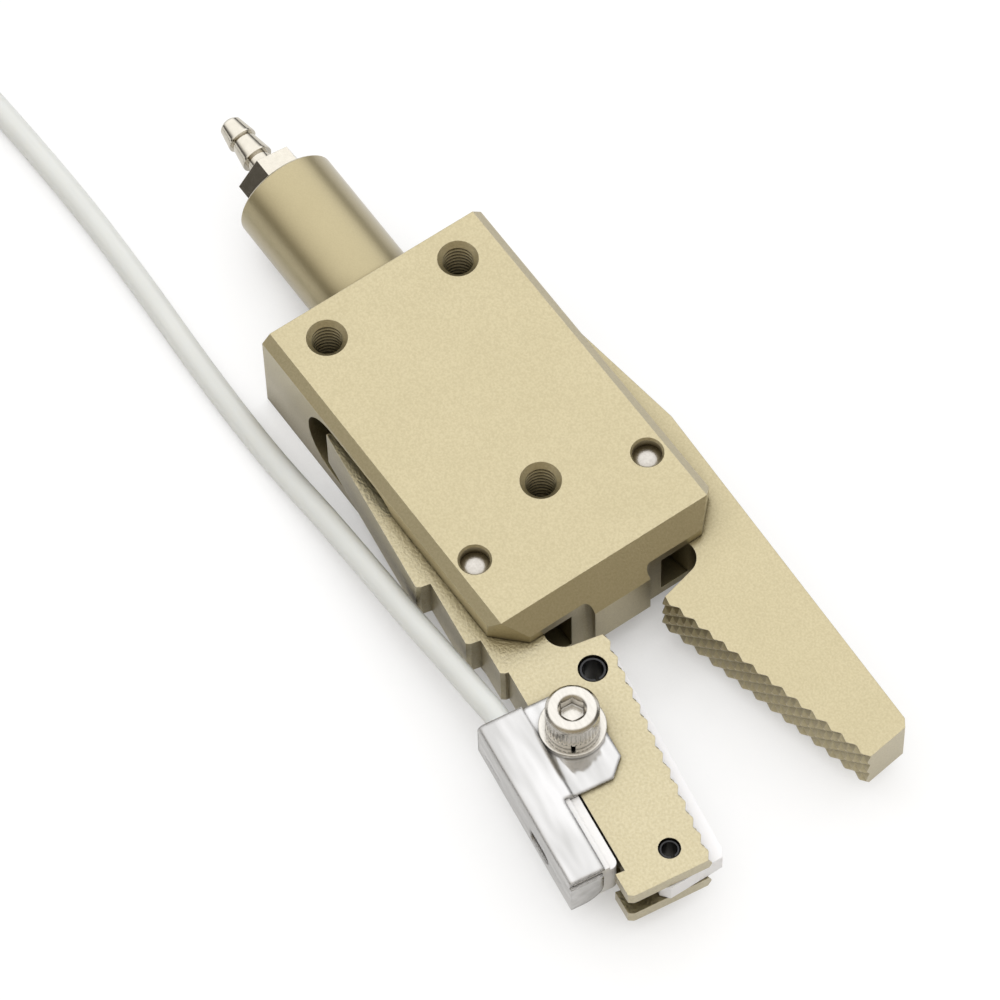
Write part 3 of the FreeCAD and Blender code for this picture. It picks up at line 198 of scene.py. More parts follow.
def pick(piece, kind, test):
    """Selects the faces or edges whose middle and direction pass the test, and stays in edit mode."""
    bpy.ops.object.mode_set(mode="EDIT")
    bpy.ops.mesh.select_mode(type=kind)
    bpy.ops.mesh.select_all(action="DESELECT")
    bpy.ops.object.mode_set(mode="OBJECT")
    mesh = piece.data
    if kind == "FACE":
        for face in mesh.polygons:
            face.select = test(face.center, face.normal)
    else:
        for edge in mesh.edges:
            ends = [mesh.vertices[index].co for index in edge.vertices]
            edge.select = test((ends[0] + ends[1]) / 2, (ends[1] - ends[0]).normalized())
    bpy.ops.object.mode_set(mode="EDIT")


def start_box(name, low, high):
    """A box between two corners, with its place in its mesh."""
    bpy.ops.object.select_all(action="DESELECT")
    bpy.ops.mesh.primitive_cube_add(size=1, location=(low + high) / 2, scale=high - low)
    piece = bpy.context.object
    piece.name = name
    bpy.ops.object.transform_apply(location=True, rotation=True, scale=True)
    return piece


print("helpers ready: pick, start_box; a direction counts as along an axis above", ALONG)

# %% Band of the tie
TIE_THICKNESS = 0.7 * MM
TIE_HEAD_REACH = 2.4 * MM
TIE_CORNER = 2.2 * MM
TIE_CORNER_STEPS = 5
tie_low, tie_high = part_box("cable_tie")
tie_side = Vector((0, TIE_THICKNESS, 0))
band_low = tie_low + tie_side + Vector((TIE_HEAD_REACH, 0, 0))
tie = start_box("cable_tie_band", band_low, tie_high - tie_side)

pick(tie, "FACE", lambda middle, normal: abs(normal.y) > ALONG)
bpy.ops.mesh.delete(type="ONLY_FACE")
pick(tie, "EDGE", lambda middle, way: abs(way.y) > ALONG)
bpy.ops.mesh.bevel(offset=TIE_CORNER, segments=TIE_CORNER_STEPS)
bpy.ops.object.mode_set(mode="OBJECT")
wall = tie.modifiers.new("wall", "SOLIDIFY")
wall.thickness = TIE_THICKNESS
wall.offset = -1
bpy.ops.object.modifier_apply(modifier="wall")
print("tie band", [round(value / MM, 1) for value in tie.dimensions], "mm")

# %% Head and tail of the tie
TIE_HEAD_HALF = 2.0 * MM
TAIL_INSET = 0.9 * MM
TAIL_LENGTH = 2.4 * MM
HEAD_EDGE = 0.2 * MM
middle_height = (tie_low.z + tie_high.z) / 2
head_low = Vector((tie_low.x, tie_low.y, middle_height - TIE_HEAD_HALF))
head_high = Vector((band_low.x, tie_high.y, middle_height + TIE_HEAD_HALF))
head = start_box("cable_tie_head", head_low, head_high)

pick(head, "FACE", lambda middle, normal: normal.z > ALONG)
bpy.ops.mesh.inset(thickness=TAIL_INSET)
bpy.ops.mesh.extrude_region_move(TRANSFORM_OT_translate={"value": (0, 0, TAIL_LENGTH)})
pick(head, "EDGE", lambda middle, way: True)
bpy.ops.mesh.bevel(offset=HEAD_EDGE, segments=2)
bpy.ops.object.mode_set(mode="OBJECT")
bpy.ops.object.select_all(action="DESELECT")
head.select_set(True)
tie.select_set(True)
bpy.context.view_layer.objects.active = tie
bpy.ops.object.join()
bpy.ops.object.shade_smooth_by_angle()
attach(tie, "root")
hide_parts("cable_tie")
print("tie", len(tie.data.polygons), "faces")

# %% [markdown]
# ## Stripped wires
# The far end of the lead is bare: the sheath stops, and three insulated cores fan out, each stripped to a few
# millimetres of copper for a terminal. Each core starts as a disc on the sheath's end and is extruded step by step,
# so that it can droop a little, and its last face is inset and extruded again to give the thinner copper.

# %% Wires
WIRE_RADIUS = 0.5 * MM
WIRE_SIDES = 14
COPPER_RADIUS = 0.3 * MM
WIRE_STEP = 2.2 * MM
WIRE_STEPS = 5
WIRE_DROP = 0.22 * MM
COPPER_LENGTH = 3.0 * MM
WIRE_SPREAD = 1.1 * MM
WIRE_FAN = math.radians(9)
WIRE_NAMES = ("brown", "black", "blue")
sheath_end = Vector(CABLE_END_ROUTE[-1]) * MM
sheath_heading = (sheath_end - Vector(CABLE_END_ROUTE[-2]) * MM).to_2d().normalized()


def stripped_wire(name, place, heading):
    """One insulated core with its bare copper end, starting as a disc at the sheath."""
    bpy.ops.object.select_all(action="DESELECT")
    turn = heading.to_track_quat("Z", "Y").to_euler()
    bpy.ops.mesh.primitive_circle_add(
        vertices=WIRE_SIDES, radius=WIRE_RADIUS, fill_type="NGON", location=place, rotation=turn)
    wire = bpy.context.object
    wire.name = name
    bpy.ops.object.transform_apply(location=True, rotation=True, scale=True)
    pick(wire, "FACE", lambda middle, normal: True)
    for step in range(WIRE_STEPS):
        drop = Vector((0, 0, -WIRE_DROP * (step > 0)))
        bpy.ops.mesh.extrude_region_move(TRANSFORM_OT_translate={"value": heading * WIRE_STEP + drop})
    bpy.ops.mesh.inset(thickness=WIRE_RADIUS - COPPER_RADIUS)
    bpy.ops.mesh.extrude_region_move(TRANSFORM_OT_translate={"value": heading * COPPER_LENGTH})
    bpy.ops.mesh.select_all(action="SELECT")
    bpy.ops.mesh.normals_make_consistent(inside=False)
    bpy.ops.object.mode_set(mode="OBJECT")
    bpy.ops.object.shade_smooth_by_angle()
    return wire


wires = []
across = Vector((sheath_heading.y, -sheath_heading.x, 0))
for side, colour in zip((-1, 0, 1), WIRE_NAMES):
    foot = sheath_end + across * side * WIRE_SPREAD
    way = Vector((*sheath_heading, 0)) + across * side * math.tan(WIRE_FAN)
    wire = stripped_wire("lead_wire_" + colour, foot, way.normalized())
    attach(wire, "root")
    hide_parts("lead_wires")
    wires.append(wire)
print("wires", [wire.name for wire in wires])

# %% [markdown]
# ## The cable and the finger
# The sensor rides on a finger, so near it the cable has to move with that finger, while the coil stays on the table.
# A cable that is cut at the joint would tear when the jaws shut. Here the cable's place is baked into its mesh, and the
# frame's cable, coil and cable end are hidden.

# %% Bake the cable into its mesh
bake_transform(cable)
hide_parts("sensor_cable", "cable_coil", "cable_end")

# %% [markdown]
# ## Springs
# The clamp has three coil springs, and each gives way when it moves: one in front of the piston, one between the two
# fingers and a small one behind the lever. A solid from the frame keeps its shape, so each spring gets a copy of its
# own. The piston's copy is hung on the body. The one between the fingers is cut in two halves.

# %% Springs of the piston and the lever
MERGE_REACH = 0.001 * MM


def spring_copy(name, node):
    """A copy of a spring of the frame, with its loose triangles merged."""
    piece = bpy.data.objects.new(name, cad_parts[node].data.copy())
    scene.collection.objects.link(piece)
    bpy.ops.object.select_all(action="DESELECT")
    piece.select_set(True)
    bpy.context.view_layer.objects.active = piece
    bpy.ops.object.mode_set(mode="EDIT")
    bpy.ops.mesh.select_all(action="SELECT")
    bpy.ops.mesh.remove_doubles(threshold=MERGE_REACH)
    bpy.ops.object.mode_set(mode="OBJECT")
    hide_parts(node)
    return piece


spring_low, spring_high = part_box("return_spring")
piston_spring = spring_copy("piston_spring_coil", "return_spring")
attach(piston_spring, "root")
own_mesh(piston_spring)

spring_low, spring_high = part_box("lever_spring")
spring_middle = (spring_low + spring_high) / 2
lever_coil = spring_copy("lever_spring_coil", "lever_spring")
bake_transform(lever_coil)
print("springs", piston_spring.name, lever_coil.name)

# %% Spring between the fingers
spring_low, spring_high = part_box("opening_spring")
spring_middle = (spring_low + spring_high) / 2
opening_coils = []
for finger, side in (("sensing_finger", -1), ("plain_finger", 1)):
    half = spring_copy("opening_spring_coil_" + finger, "opening_spring")
    bpy.ops.object.mode_set(mode="EDIT")
    bpy.ops.mesh.select_all(action="SELECT")
    bpy.ops.mesh.bisect(plane_co=spring_middle, plane_no=(0, side, 0), use_fill=True, clear_inner=True)
    bpy.ops.object.mode_set(mode="OBJECT")
    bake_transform(half)
    opening_coils.append(half)
print("spring halves", [half.name for half in opening_coils])

# %% [markdown]
# ## Finishes
# Each finish below is a small net of nodes on one Principled shader. Two helpers keep the nets short: one sets or
# links the inputs of a node, the other adds a node and does the same. Colours are written as they look on a screen
# and turned to linear values. Patterns are measured in millimetres on Object coordinates, so they stay put when a
# finger swings. The sockets of a Mix node for colours share their names with those for numbers, so they go by place.

# %% Helpers for finishes
MIX_SHARE, MIX_FROM, MIX_TO = 0, 6, 7
MIXED_COLOUR = 2


def linear(hex_colour):
    """A screen colour such as D4C8A0, as the linear colour that a shader takes."""
    shares = [int(hex_colour[place:place + 2], 16) / 255 for place in (0, 2, 4)]
    return (*[s / 12.92 if s <= 0.04045 else ((s + 0.055) / 1.055) ** 2.4 for s in shares], 1.0)


def plug(tree, node, inputs):
    """Sets each named input of a node, or links it where the value is another node's output."""
    for name, value in inputs.items():
        if isinstance(value, bpy.types.NodeSocket):
            tree.links.new(value, node.inputs[name])
        else:
            node.inputs[name].default_value = value


def add_node(tree, kind, inputs, **settings):
    """Adds a node with its settings and inputs."""
    node = tree.nodes.new(kind)
    for name, value in settings.items():
        setattr(node, name, value)
    plug(tree, node, inputs)
    return node


def new_finish(name):
    """A new material, its node tree, its shader and the place on the piece in metres."""
    material = bpy.data.materials.new(name)
    material.use_nodes = True
    tree = material.node_tree
    place = add_node(tree, "ShaderNodeTexCoord", {}).outputs["Object"]
    return material, tree, tree.nodes["Principled BSDF"], place


finishes = {}
print("helpers ready: linear, plug, add_node, new_finish")

# %% [markdown]
# ### Gold anodised aluminium
# The body, the fingers and the barrel are aluminium, blasted with fine beads and anodised in a pale gold. Blasting
# leaves dimples that scatter the light into a soft sheen, and the clear oxide on top adds a faint white gloss. Real
# dimples of a tenth of a millimetre would be lost at this distance, so they are drawn about three times as wide.
# Sharp edges catch the light, and their colour is a little paler: partly because the colour is thin there, and
# partly as a painted highlight.
# The Bevel node rounds the normal near an edge, which shows that glint without touching the frame's meshes. Grooves,
# holes and inner corners get painted shade: a darker colour and a weaker clear gloss. The Ambient Occlusion node tells
# how closed in a place is: once over five millimetres, for holes and slots, and once over less than one, for the knurl
# and the threads.

# %% Gold anodised aluminium
DUST = linear("9C8E66")
WORN_EDGE_AND_GLINT = linear("E2DCC4")
GOLD_PAINTED_SHADE = linear("4E4326")
DYE_CLOUD = 7 * MM
GOLD_EDGE = 0.12 * MM
POCKET_REACH = 5 * MM
GROOVE_REACH = 0.8 * MM


def anodised_aluminium(name, colour, tint, grain, depth, roughness):
    """Gold anodised aluminium in two close tones, with dimples of one width and depth in millimetres."""
    material, tree, shader, place = new_finish(name)
    dimples = add_node(tree, "ShaderNodeTexNoise", {"Vector": place, "Scale": 1 / (grain * MM), "Detail": 2.0})
    cloud = add_node(tree, "ShaderNodeTexNoise", {"Vector": place, "Scale": 1 / DYE_CLOUD, "Detail": 3.0})
    rounded = add_node(tree, "ShaderNodeBevel", {"Radius": GOLD_EDGE}, samples=6)
    flat = add_node(tree, "ShaderNodeNewGeometry", {})
    facing = add_node(
        tree, "ShaderNodeVectorMath", {0: rounded.outputs[0], 1: flat.outputs["Normal"]}, operation="DOT_PRODUCT")
    # Paler colour along sharp edges: partly thin colour there, partly a painted highlight.
    edge = add_node(tree, "ShaderNodeMapRange", {
        "Value": facing.outputs["Value"], "From Min": 1.0, "From Max": 0.8, "To Min": 0.0, "To Max": 0.45})
    dye = add_node(tree, "ShaderNodeMix", {
        MIX_SHARE: cloud.outputs[0], MIX_FROM: linear(colour), MIX_TO: linear(tint)}, data_type="RGBA")
    speckle = add_node(tree, "ShaderNodeMapRange", {
        "Value": dimples.outputs[0], "From Min": 0.35, "From Max": 0.65, "To Min": 0.0, "To Max": 0.34})
    dusty = add_node(tree, "ShaderNodeMix", {
        MIX_SHARE: speckle.outputs[0], MIX_FROM: dye.outputs[MIXED_COLOUR], MIX_TO: DUST}, data_type="RGBA")
    worn_and_glinting = add_node(tree, "ShaderNodeMix", {
        MIX_SHARE: edge.outputs[0], MIX_FROM: dusty.outputs[MIXED_COLOUR], MIX_TO: WORN_EDGE_AND_GLINT}, data_type="RGBA")
    # Painted shade: Ambient Occlusion darkens the colour and thins the clear gloss in holes, slots, grooves and
    # corners.
    closed_in = add_node(tree, "ShaderNodeAmbientOcclusion", {"Distance": POCKET_REACH}, samples=4)
    pocket_unshaded = add_node(tree, "ShaderNodeMapRange", {
        "Value": closed_in.outputs["AO"], "From Min": 0.35, "From Max": 0.9, "To Min": 0.4})
    in_groove = add_node(tree, "ShaderNodeAmbientOcclusion", {"Distance": GROOVE_REACH}, samples=4)
    ridge = add_node(tree, "ShaderNodeMapRange", {
        "Value": in_groove.outputs["AO"], "From Min": 0.4, "From Max": 0.85, "To Min": 0.2})
    bare = add_node(tree, "ShaderNodeMath", {0: pocket_unshaded.outputs[0], 1: ridge.outputs[0]}, operation="MULTIPLY")
    colour_with_painted_shade = add_node(tree, "ShaderNodeMix", {
        MIX_SHARE: bare.outputs[0], MIX_FROM: GOLD_PAINTED_SHADE, MIX_TO: worn_and_glinting.outputs[MIXED_COLOUR]}, data_type="RGBA")
    sheen = add_node(tree, "ShaderNodeMapRange", {
        "Value": dimples.outputs[0], "To Min": roughness - 0.05, "To Max": roughness + 0.07})
    bump = add_node(tree, "ShaderNodeBump", {
        "Strength": 0.8, "Distance": depth * MM, "Height": dimples.outputs[0], "Normal": rounded.outputs[0]})
    plug(tree, shader, {
        "Base Color": colour_with_painted_shade.outputs[MIXED_COLOUR], "Metallic": 1.0, "Roughness": sheen.outputs[0],
        "Normal": bump.outputs[0], "Coat Weight": bare.outputs[0], "Coat Roughness": 0.3, "Coat IOR": 1.7,
    })
    return material


# Name, two tones, width and depth of the dimples in millimetres, roughness
GOLD_FINISHES = {
    "blasted_gold": ("gold_anodised_blasted_aluminium", "B5A982", "BDB18B", 0.3, 0.04, 0.42),
    "coarse_gold": ("gold_anodised_coarse_blasted_aluminium", "BAAF8B", "C2B794", 0.38, 0.12, 0.4),
    "turned_gold": ("gold_anodised_turned_aluminium", "A3966D", "AB9E76", 0.2, 0.006, 0.36),
}
for finish, values in GOLD_FINISHES.items():
    finishes[finish] = anodised_aluminium(*values)
print("finishes", sorted(finishes))

# %% [markdown]
# ### Bright stainless sheet and the screw
# The sensor clip is bent from half-millimetre stainless sheet, rolled bright, and its screw and washers are plain
# stainless. A bent sheet is never quite flat, so slow waves run along it and break the reflection into soft bands,
# with faint rolling lines on top. The Mapping node turns both into the clip's own direction. The colour also wavers
# with the waves between a darker and a paler tone, which paints reflection bands in. The screw was cold headed: no
# waves to speak of, a rounder edge, a finer grain and a greyer tone. Its socket and other closed-in spots get painted
# shade where the Ambient Occlusion node finds them closed in, as on the gold.

# %% Stainless steel
CLIP_TURN = math.radians(-7.6)
ROLLING_STRETCH = (5.0, 1.0, 1.0)
ROLLING_LINE = 0.15 * MM
ROLLING_DEPTH = 0.004 * MM
SOCKET_REACH = 1.5 * MM
STEEL_PAINTED_SHADE = linear("2E2B26")


def stainless_steel(name, colour, tint, waves, depth, edge, roughness):
    """Stainless steel with waves of one width and depth in millimetres along the clip, and rounded edges."""
    material, tree, shader, place = new_finish(name)
    along = add_node(tree, "ShaderNodeMapping", {
        "Vector": place, "Rotation": (0, 0, CLIP_TURN), "Scale": ROLLING_STRETCH}, vector_type="TEXTURE")
    wave = add_node(tree, "ShaderNodeTexNoise", {
        "Vector": along.outputs[0], "Scale": 1 / (waves * MM), "Detail": 1.0})
    lines = add_node(tree, "ShaderNodeTexNoise", {
        "Vector": along.outputs[0], "Scale": 1 / ROLLING_LINE, "Detail": 2.0})
    rounded = add_node(tree, "ShaderNodeBevel", {"Radius": edge * MM}, samples=6)
    polish = add_node(tree, "ShaderNodeMapRange", {
        "Value": lines.outputs[0], "From Min": 0.3, "From Max": 0.7,
        "To Min": roughness - 0.04, "To Max": roughness + 0.05})
    # Painted reflection: the colour wavers with the waves between a darker and a paler tone, drawing reflection bands.
    painted_reflection_band = add_node(tree, "ShaderNodeMapRange", {"Value": wave.outputs[0], "From Min": 0.3, "From Max": 0.7})
    tone = add_node(tree, "ShaderNodeMix", {
        MIX_SHARE: painted_reflection_band.outputs[0], MIX_FROM: linear(colour), MIX_TO: linear(tint)}, data_type="RGBA")
    # Painted shade: Ambient Occlusion darkens the colour in the screw's socket and the clip's closed-in corners.
    closed_in = add_node(tree, "ShaderNodeAmbientOcclusion", {"Distance": SOCKET_REACH}, samples=4)
    pocket_unshaded = add_node(tree, "ShaderNodeMapRange", {
        "Value": closed_in.outputs["AO"], "From Min": 0.2, "From Max": 0.7, "To Min": 0.4})
    colour_with_painted_shade = add_node(tree, "ShaderNodeMix", {
        MIX_SHARE: pocket_unshaded.outputs[0], MIX_FROM: STEEL_PAINTED_SHADE, MIX_TO: tone.outputs[MIXED_COLOUR]}, data_type="RGBA")
    buckled = add_node(tree, "ShaderNodeBump", {
        "Distance": depth * MM, "Height": wave.outputs[0], "Normal": rounded.outputs[0]})
    bump = add_node(tree, "ShaderNodeBump", {
        "Strength": 0.3, "Distance": ROLLING_DEPTH, "Height": lines.outputs[0], "Normal": buckled.outputs[0]})
    plug(tree, shader, {
        "Base Color": colour_with_painted_shade.outputs[MIXED_COLOUR], "Metallic": 1.0, "Roughness": polish.outputs[0],
        "Normal": bump.outputs[0],
    })
    return material


# Name, two tones, width and depth of the waves and rounding of the edges in millimetres, roughness
STAINLESS_FINISHES = {
    "stainless_sheet": ("bright_rolled_stainless_sheet", "B6B5B3", "D2D1D0", 2.0, 0.3, 0.9, 0.12),
    "stainless_screw": ("cold_headed_stainless", "CBC7BF", "D3CFC7", 0.5, 0.01, 0.35, 0.16),
}
for finish, values in STAINLESS_FINISHES.items():
    finishes[finish] = stainless_steel(*values)
print("finishes", sorted(finishes))

# %% [markdown]
# ### Nickel, ground steel, black oxide and the hidden metals
# The hose barb is brass under bright nickel, so it mirrors the room, warm and a little wavy. The dowel pins are
# ground steel with a fine satin grain, and the split pins are blackened. Springs, piston and bush sit inside and are
# seen only through the slots, so one function with a colour, a grain and a roughness serves them all.

# %% Plated, ground and drawn metals
METAL_EDGE = 0.08 * MM


def plain_metal(name, colour, tint, grain, depth, roughness):
    """A metal whose colour wavers between two tones over one grain in millimetres."""
    material, tree, shader, place = new_finish(name)
    noise = add_node(tree, "ShaderNodeTexNoise", {"Vector": place, "Scale": 1 / (grain * MM), "Detail": 3.0})
    rounded = add_node(tree, "ShaderNodeBevel", {"Radius": METAL_EDGE}, samples=6)
    tone = add_node(tree, "ShaderNodeMix", {
        MIX_SHARE: noise.outputs[0], MIX_FROM: linear(colour), MIX_TO: linear(tint)}, data_type="RGBA")
    polish = add_node(tree, "ShaderNodeMapRange", {
        "Value": noise.outputs[0], "To Min": roughness * 0.8, "To Max": roughness * 1.2})
    bump = add_node(tree, "ShaderNodeBump", {
        "Strength": 0.4, "Distance": depth * MM, "Height": noise.outputs[0], "Normal": rounded.outputs[0]})
    plug(tree, shader, {
        "Base Color": tone.outputs[MIXED_COLOUR], "Metallic": 1.0, "Roughness": polish.outputs[0],
        "Normal": bump.outputs[0],
    })
    return material


# Name, two tones, width and depth of the grain in millimetres, roughness
PLAIN_METALS = {
    "nickel": ("bright_nickel_plate", "C5BFB2", "D6D1C5", 0.8, 0.006, 0.13),
    "ground_steel": ("ground_dowel_steel", "A9A39B", "D2CEC6", 0.35, 0.03, 0.3),
    "black_oxide": ("black_oxide_steel", "2A2A2B", "4A4A4B", 0.2, 0.006, 0.3),
    "spring_wire": ("drawn_spring_wire", "A9A8A6", "C4C3C0", 0.3, 0.004, 0.28),
    "bronze": ("sintered_bronze", "A87E4C", "BE9560", 0.12, 0.008, 0.45),
    "turned_aluminium": ("turned_aluminium", "CFCFCE", "E0E0DF", 0.1, 0.003, 0.3),
    "copper": ("bare_copper", "C9794F", "DE9A72", 0.2, 0.004, 0.25),
}
for finish, values in PLAIN_METALS.items():
    finishes[finish] = plain_metal(*values)
print("finishes", sorted(finishes))

# %% [markdown]
# ### Plastics and rubber
# The lever is milled from white acetal, the sensor's housing is moulded white, the lead is milky PVC that lets a
# little light in, the tie is natural nylon and the seals are black rubber. They share one function: a plastic is a
# colour that varies slightly, a roughness, an orange-peel or milled grain, and some light scattered under its skin.

# %% Plastics and rubber
PLASTIC_CLOUD = 9 * MM
PLASTIC_EDGE = 0.15 * MM
SCATTER_REACH = 0.8 * MM
SCATTER_TINT = (1.0, 0.95, 0.85)


def plastic(name, colour, tint, grain, depth, roughness, scatter, ior):
    """A plastic or rubber: two close tones, a grain in millimetres, and scattering under the skin."""
    material, tree, shader, place = new_finish(name)
    noise = add_node(tree, "ShaderNodeTexNoise", {"Vector": place, "Scale": 1 / (grain * MM), "Detail": 3.0})
    cloud = add_node(tree, "ShaderNodeTexNoise", {"Vector": place, "Scale": 1 / PLASTIC_CLOUD, "Detail": 2.0})
    rounded = add_node(tree, "ShaderNodeBevel", {"Radius": PLASTIC_EDGE}, samples=6)
    tone = add_node(tree, "ShaderNodeMix", {
        MIX_SHARE: cloud.outputs[0], MIX_FROM: linear(colour), MIX_TO: linear(tint)}, data_type="RGBA")
    polish = add_node(tree, "ShaderNodeMapRange", {
        "Value": noise.outputs[0], "To Min": roughness - 0.05, "To Max": roughness + 0.08})
    bump = add_node(tree, "ShaderNodeBump", {
        "Strength": 0.3, "Distance": depth * MM, "Height": noise.outputs[0], "Normal": rounded.outputs[0]})
    plug(tree, shader, {
        "Base Color": tone.outputs[MIXED_COLOUR], "Roughness": polish.outputs[0], "Normal": bump.outputs[0], "IOR": ior,
        "Subsurface Weight": scatter, "Subsurface Radius": SCATTER_TINT, "Subsurface Scale": SCATTER_REACH,
    })
    return material


# Name, two tones, width and depth of the grain in millimetres, roughness, scattering, IOR
PLASTICS = {
    "acetal": ("milled_white_acetal", "FAFAFD", "FDFDFF", 0.3, 0.01, 0.38, 0.15, 1.48),
    "housing": ("moulded_white_housing", "ECEBEA", "F3F2F1", 0.25, 0.006, 0.32, 0.1, 1.5),
    "window": ("smoked_indicator_window", "8C867A", "A09A8E", 0.6, 0.002, 0.12, 0.0, 1.55),
    "sheath": ("milky_pvc_sheath", "D8DAD7", "DEE0DD", 0.5, 0.01, 0.36, 0.5, 1.53),
    "nylon": ("natural_nylon", "E6E3D6", "EEECE2", 0.4, 0.008, 0.34, 0.3, 1.53),
    "rubber": ("black_nitrile_rubber", "161616", "202020", 0.2, 0.01, 0.55, 0.0, 1.52),
    "brown_core": ("brown_pvc_core", "5B3A24", "68442C", 0.5, 0.008, 0.35, 0.05, 1.53),
    "black_core": ("black_pvc_core", "1A1A1B", "262627", 0.5, 0.008, 0.35, 0.0, 1.53),
    "blue_core": ("blue_pvc_core", "1F4F9A", "2A5EAD", 0.5, 0.008, 0.35, 0.05, 1.53),
}
for finish, values in PLASTICS.items():
    finishes[finish] = plastic(*values)
print(len(finishes), "finishes")

# %% [markdown]
# ## Each piece gets its finish
# A node of the frame has one material slot already, so its finish goes straight into that slot. The new pieces get a
# slot of their own. A stripped wire needs two finishes, plastic and copper, and a face's distance from the end of the
# sheath tells which of the two it is.

# %% Each piece gets its finish
NODE_FINISHES = {
    "blasted_gold": ["body_block", "plain_finger"],
    "coarse_gold": ["sensing_finger"],
    "turned_gold": ["cylinder_barrel"],
    "stainless_sheet": ["sensor_clip"],
    "stainless_screw": ["clip_screw", "flat_washer", "spring_washer"],
    "nickel": ["hose_barb", "lever_magnet"],
    "ground_steel": ["pivot_pin_plain", "pivot_pin_sensing", "piston_rod", "push_nose"],
    "black_oxide": ["lever_pivot_pin", "lever_stop_pin"],
    "bronze": ["rod_bush"],
    "turned_aluminium": ["piston"],
    "acetal": ["sensing_lever"],
    "housing": ["sensor_body"],
    "window": ["sensor_indicator"],
    "rubber": ["port_gasket", "piston_seal"],
}
for finish, nodes in NODE_FINISHES.items():
    for node in nodes:
        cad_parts[node].material_slots[0].material = finishes[finish]
springs = [piston_spring, lever_coil, *opening_coils]
for piece, finish in ((cable, "sheath"), (tie, "nylon"), *((spring, "spring_wire") for spring in springs)):
    piece.data.materials.clear()
    piece.data.materials.append(finishes[finish])
wire_axis = Vector((*sheath_heading, 0))
insulated = WIRE_STEPS * WIRE_STEP * math.cos(WIRE_FAN) + WIRE_STEP / 10
for wire, colour in zip(wires, WIRE_NAMES):
    wire.data.materials.append(finishes[colour + "_core"])
    wire.data.materials.append(finishes["copper"])
    for face in wire.data.polygons:
        face.material_index = int((face.center - sheath_end).dot(wire_axis) > insulated)
print("finishes given to", sum(len(nodes) for nodes in NODE_FINISHES.values()), "nodes")

# %% [markdown]
# ## Floor and light
# The clamp lies on a white table in a light tent: bright above and behind, dimmer and a little warm low in front and
# on the left, where the tent is open, with a dark gap all round between the tent and the table. That contrast is what
# draws the bands on the barrel, the dark bevel at the front and the thin dark lines on the clip's bends. One sky with
# a smooth tilt between the two tones does it without lamps that could burn the pale faces. The floor is lit by it and
# keeps its shadow, and part of it shines by itself for the camera and in reflections, so it looks white. That glow
# fades where an Ambient Occlusion node finds the table closed in near the clamp, which paints a deeper contact shadow
# there, where less light would reach a real table.

# %% Floor
FLOOR_SIZE = 6.0
FLOOR_TONES = (linear("E5E5E5"), linear("E9E9E9"))
FLOOR_FIBRE = 3 * MM
FLOOR_GLOW = 0.55
GLOW_LEVEL = 1.2
MIRRORED_GLOW = 0.35
COVER_REACH = 14 * MM
COVERED_GLOW = 0.22
bpy.ops.object.select_all(action="DESELECT")
bpy.ops.mesh.primitive_plane_add(size=FLOOR_SIZE)
floor = bpy.context.object
floor.name = "white_table"
paper, tree, shader, place = new_finish("matt_white_table")
fibres = add_node(tree, "ShaderNodeTexNoise", {"Vector": place, "Scale": 1 / FLOOR_FIBRE, "Detail": 2.0})
tone = add_node(tree, "ShaderNodeMix", {
    MIX_SHARE: fibres.outputs[0], MIX_FROM: FLOOR_TONES[0], MIX_TO: FLOOR_TONES[1]}, data_type="RGBA")
plug(tree, shader, {"Base Color": tone.outputs[MIXED_COLOUR], "Roughness": 0.9, "Specular IOR Level": 0.1})
glow = add_node(tree, "ShaderNodeEmission", {"Color": (1, 1, 1, 1), "Strength": GLOW_LEVEL})
ray = add_node(tree, "ShaderNodeLightPath", {})
direct = add_node(tree, "ShaderNodeMath", {
    0: ray.outputs["Is Camera Ray"], 1: ray.outputs["Is Transmission Ray"]}, operation="MAXIMUM")
seen = add_node(tree, "ShaderNodeMath", {
    0: ray.outputs["Is Glossy Ray"], 1: MIRRORED_GLOW, 2: direct.outputs[0]}, operation="MULTIPLY_ADD")
# Painted shadow: the glow share drops where the floor is closed in near the clamp, deepening its contact shadow.
open_air = add_node(tree, "ShaderNodeAmbientOcclusion", {"Distance": COVER_REACH}, samples=8)
glowing = add_node(tree, "ShaderNodeMapRange", {
    "Value": open_air.outputs["AO"], "From Min": 0.25, "From Max": 0.6,
    "To Min": COVERED_GLOW, "To Max": FLOOR_GLOW})
share = add_node(tree, "ShaderNodeMath", {0: seen.outputs[0], 1: glowing.outputs[0]}, operation="MULTIPLY")
surface = add_node(tree, "ShaderNodeMixShader", {
    0: share.outputs[0], 1: shader.outputs[0], 2: glow.outputs[0]})
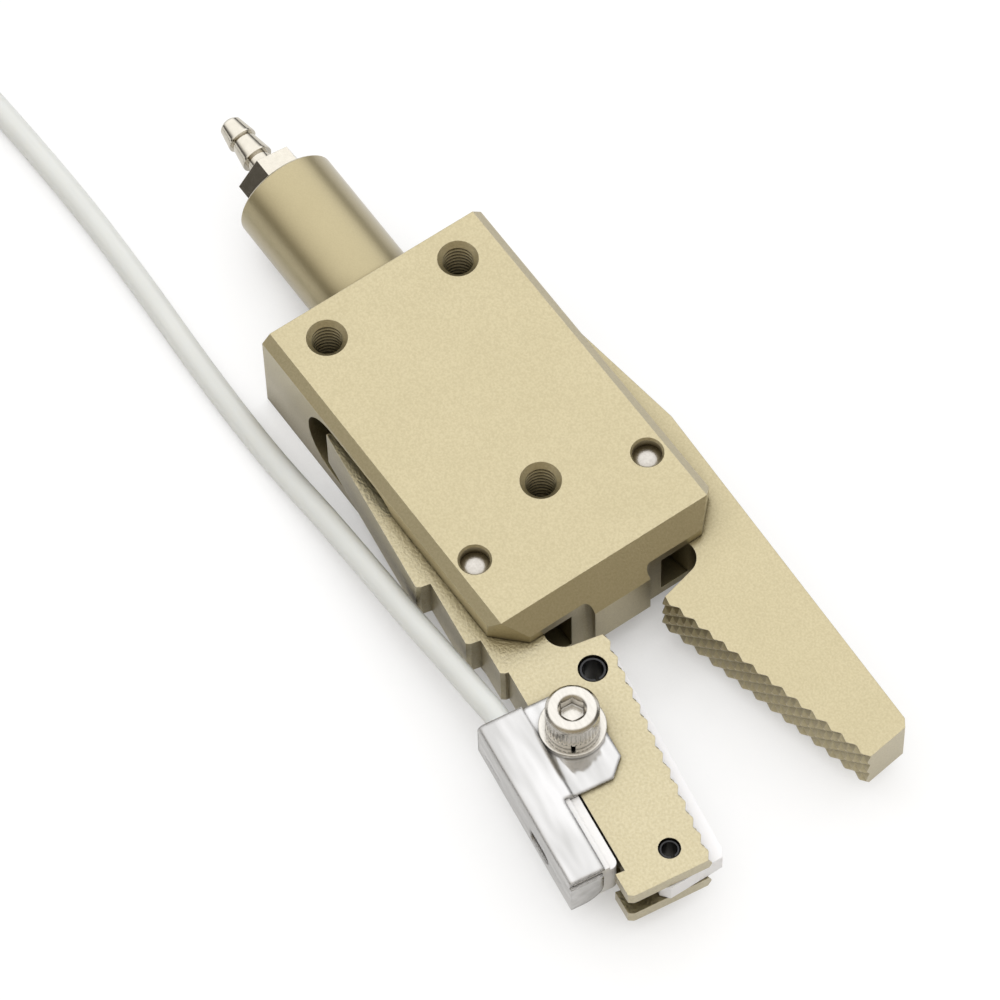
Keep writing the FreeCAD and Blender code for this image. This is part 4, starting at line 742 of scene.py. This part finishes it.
plug(tree, tree.nodes["Material Output"], {"Surface": surface.outputs[0]})
floor.data.materials.append(paper)
print("floor", FLOOR_SIZE, "m")

# %% Light tent
TENT_AXIS = Vector((-0.52, 0.25, 0.8)).normalized()
TENT_BRIGHT = (1.55, 1.55, 1.56, 1.0)
TENT_DIM = (0.42, 0.35, 0.23, 1.0)
TENT_DIM_END, TENT_BRIGHT_END = -0.3, 0.95
GAP_FOOT = 0.12
GAP_HEIGHT = 0.48
GAP_LEVEL = 0.14
world = bpy.data.worlds.new("light_tent")
scene.world = world
world.use_nodes = True
tree = world.node_tree
skyward = add_node(tree, "ShaderNodeTexCoord", {})
lean = add_node(tree, "ShaderNodeVectorMath", {
    0: skyward.outputs["Generated"], 1: TENT_AXIS}, operation="DOT_PRODUCT")
share = add_node(tree, "ShaderNodeMapRange", {
    "Value": lean.outputs["Value"], "From Min": TENT_DIM_END, "From Max": TENT_BRIGHT_END,
}, interpolation_type="SMOOTHSTEP")
tent = add_node(tree, "ShaderNodeMix", {
    MIX_SHARE: share.outputs[0], MIX_FROM: TENT_DIM, MIX_TO: TENT_BRIGHT}, data_type="RGBA")
rise = add_node(tree, "ShaderNodeSeparateXYZ", {"Vector": skyward.outputs["Generated"]})
gap = add_node(tree, "ShaderNodeMapRange", {
    "Value": rise.outputs["Z"], "From Min": GAP_FOOT, "From Max": GAP_HEIGHT, "To Min": GAP_LEVEL,
}, interpolation_type="SMOOTHSTEP")
lamp = tree.nodes["Background"]
plug(tree, lamp, {"Color": tent.outputs[MIXED_COLOUR], "Strength": gap.outputs[0]})
white = add_node(tree, "ShaderNodeBackground", {"Color": (1, 1, 1, 1), "Strength": 1.0})
ray = add_node(tree, "ShaderNodeLightPath", {})
backdrop = add_node(tree, "ShaderNodeMixShader", {
    0: ray.outputs["Is Camera Ray"], 1: lamp.outputs[0], 2: white.outputs[0]})
plug(tree, tree.nodes["World Output"], {"Surface": backdrop.outputs[0]})
print("light tent bright along", [round(value, 2) for value in TENT_AXIS])
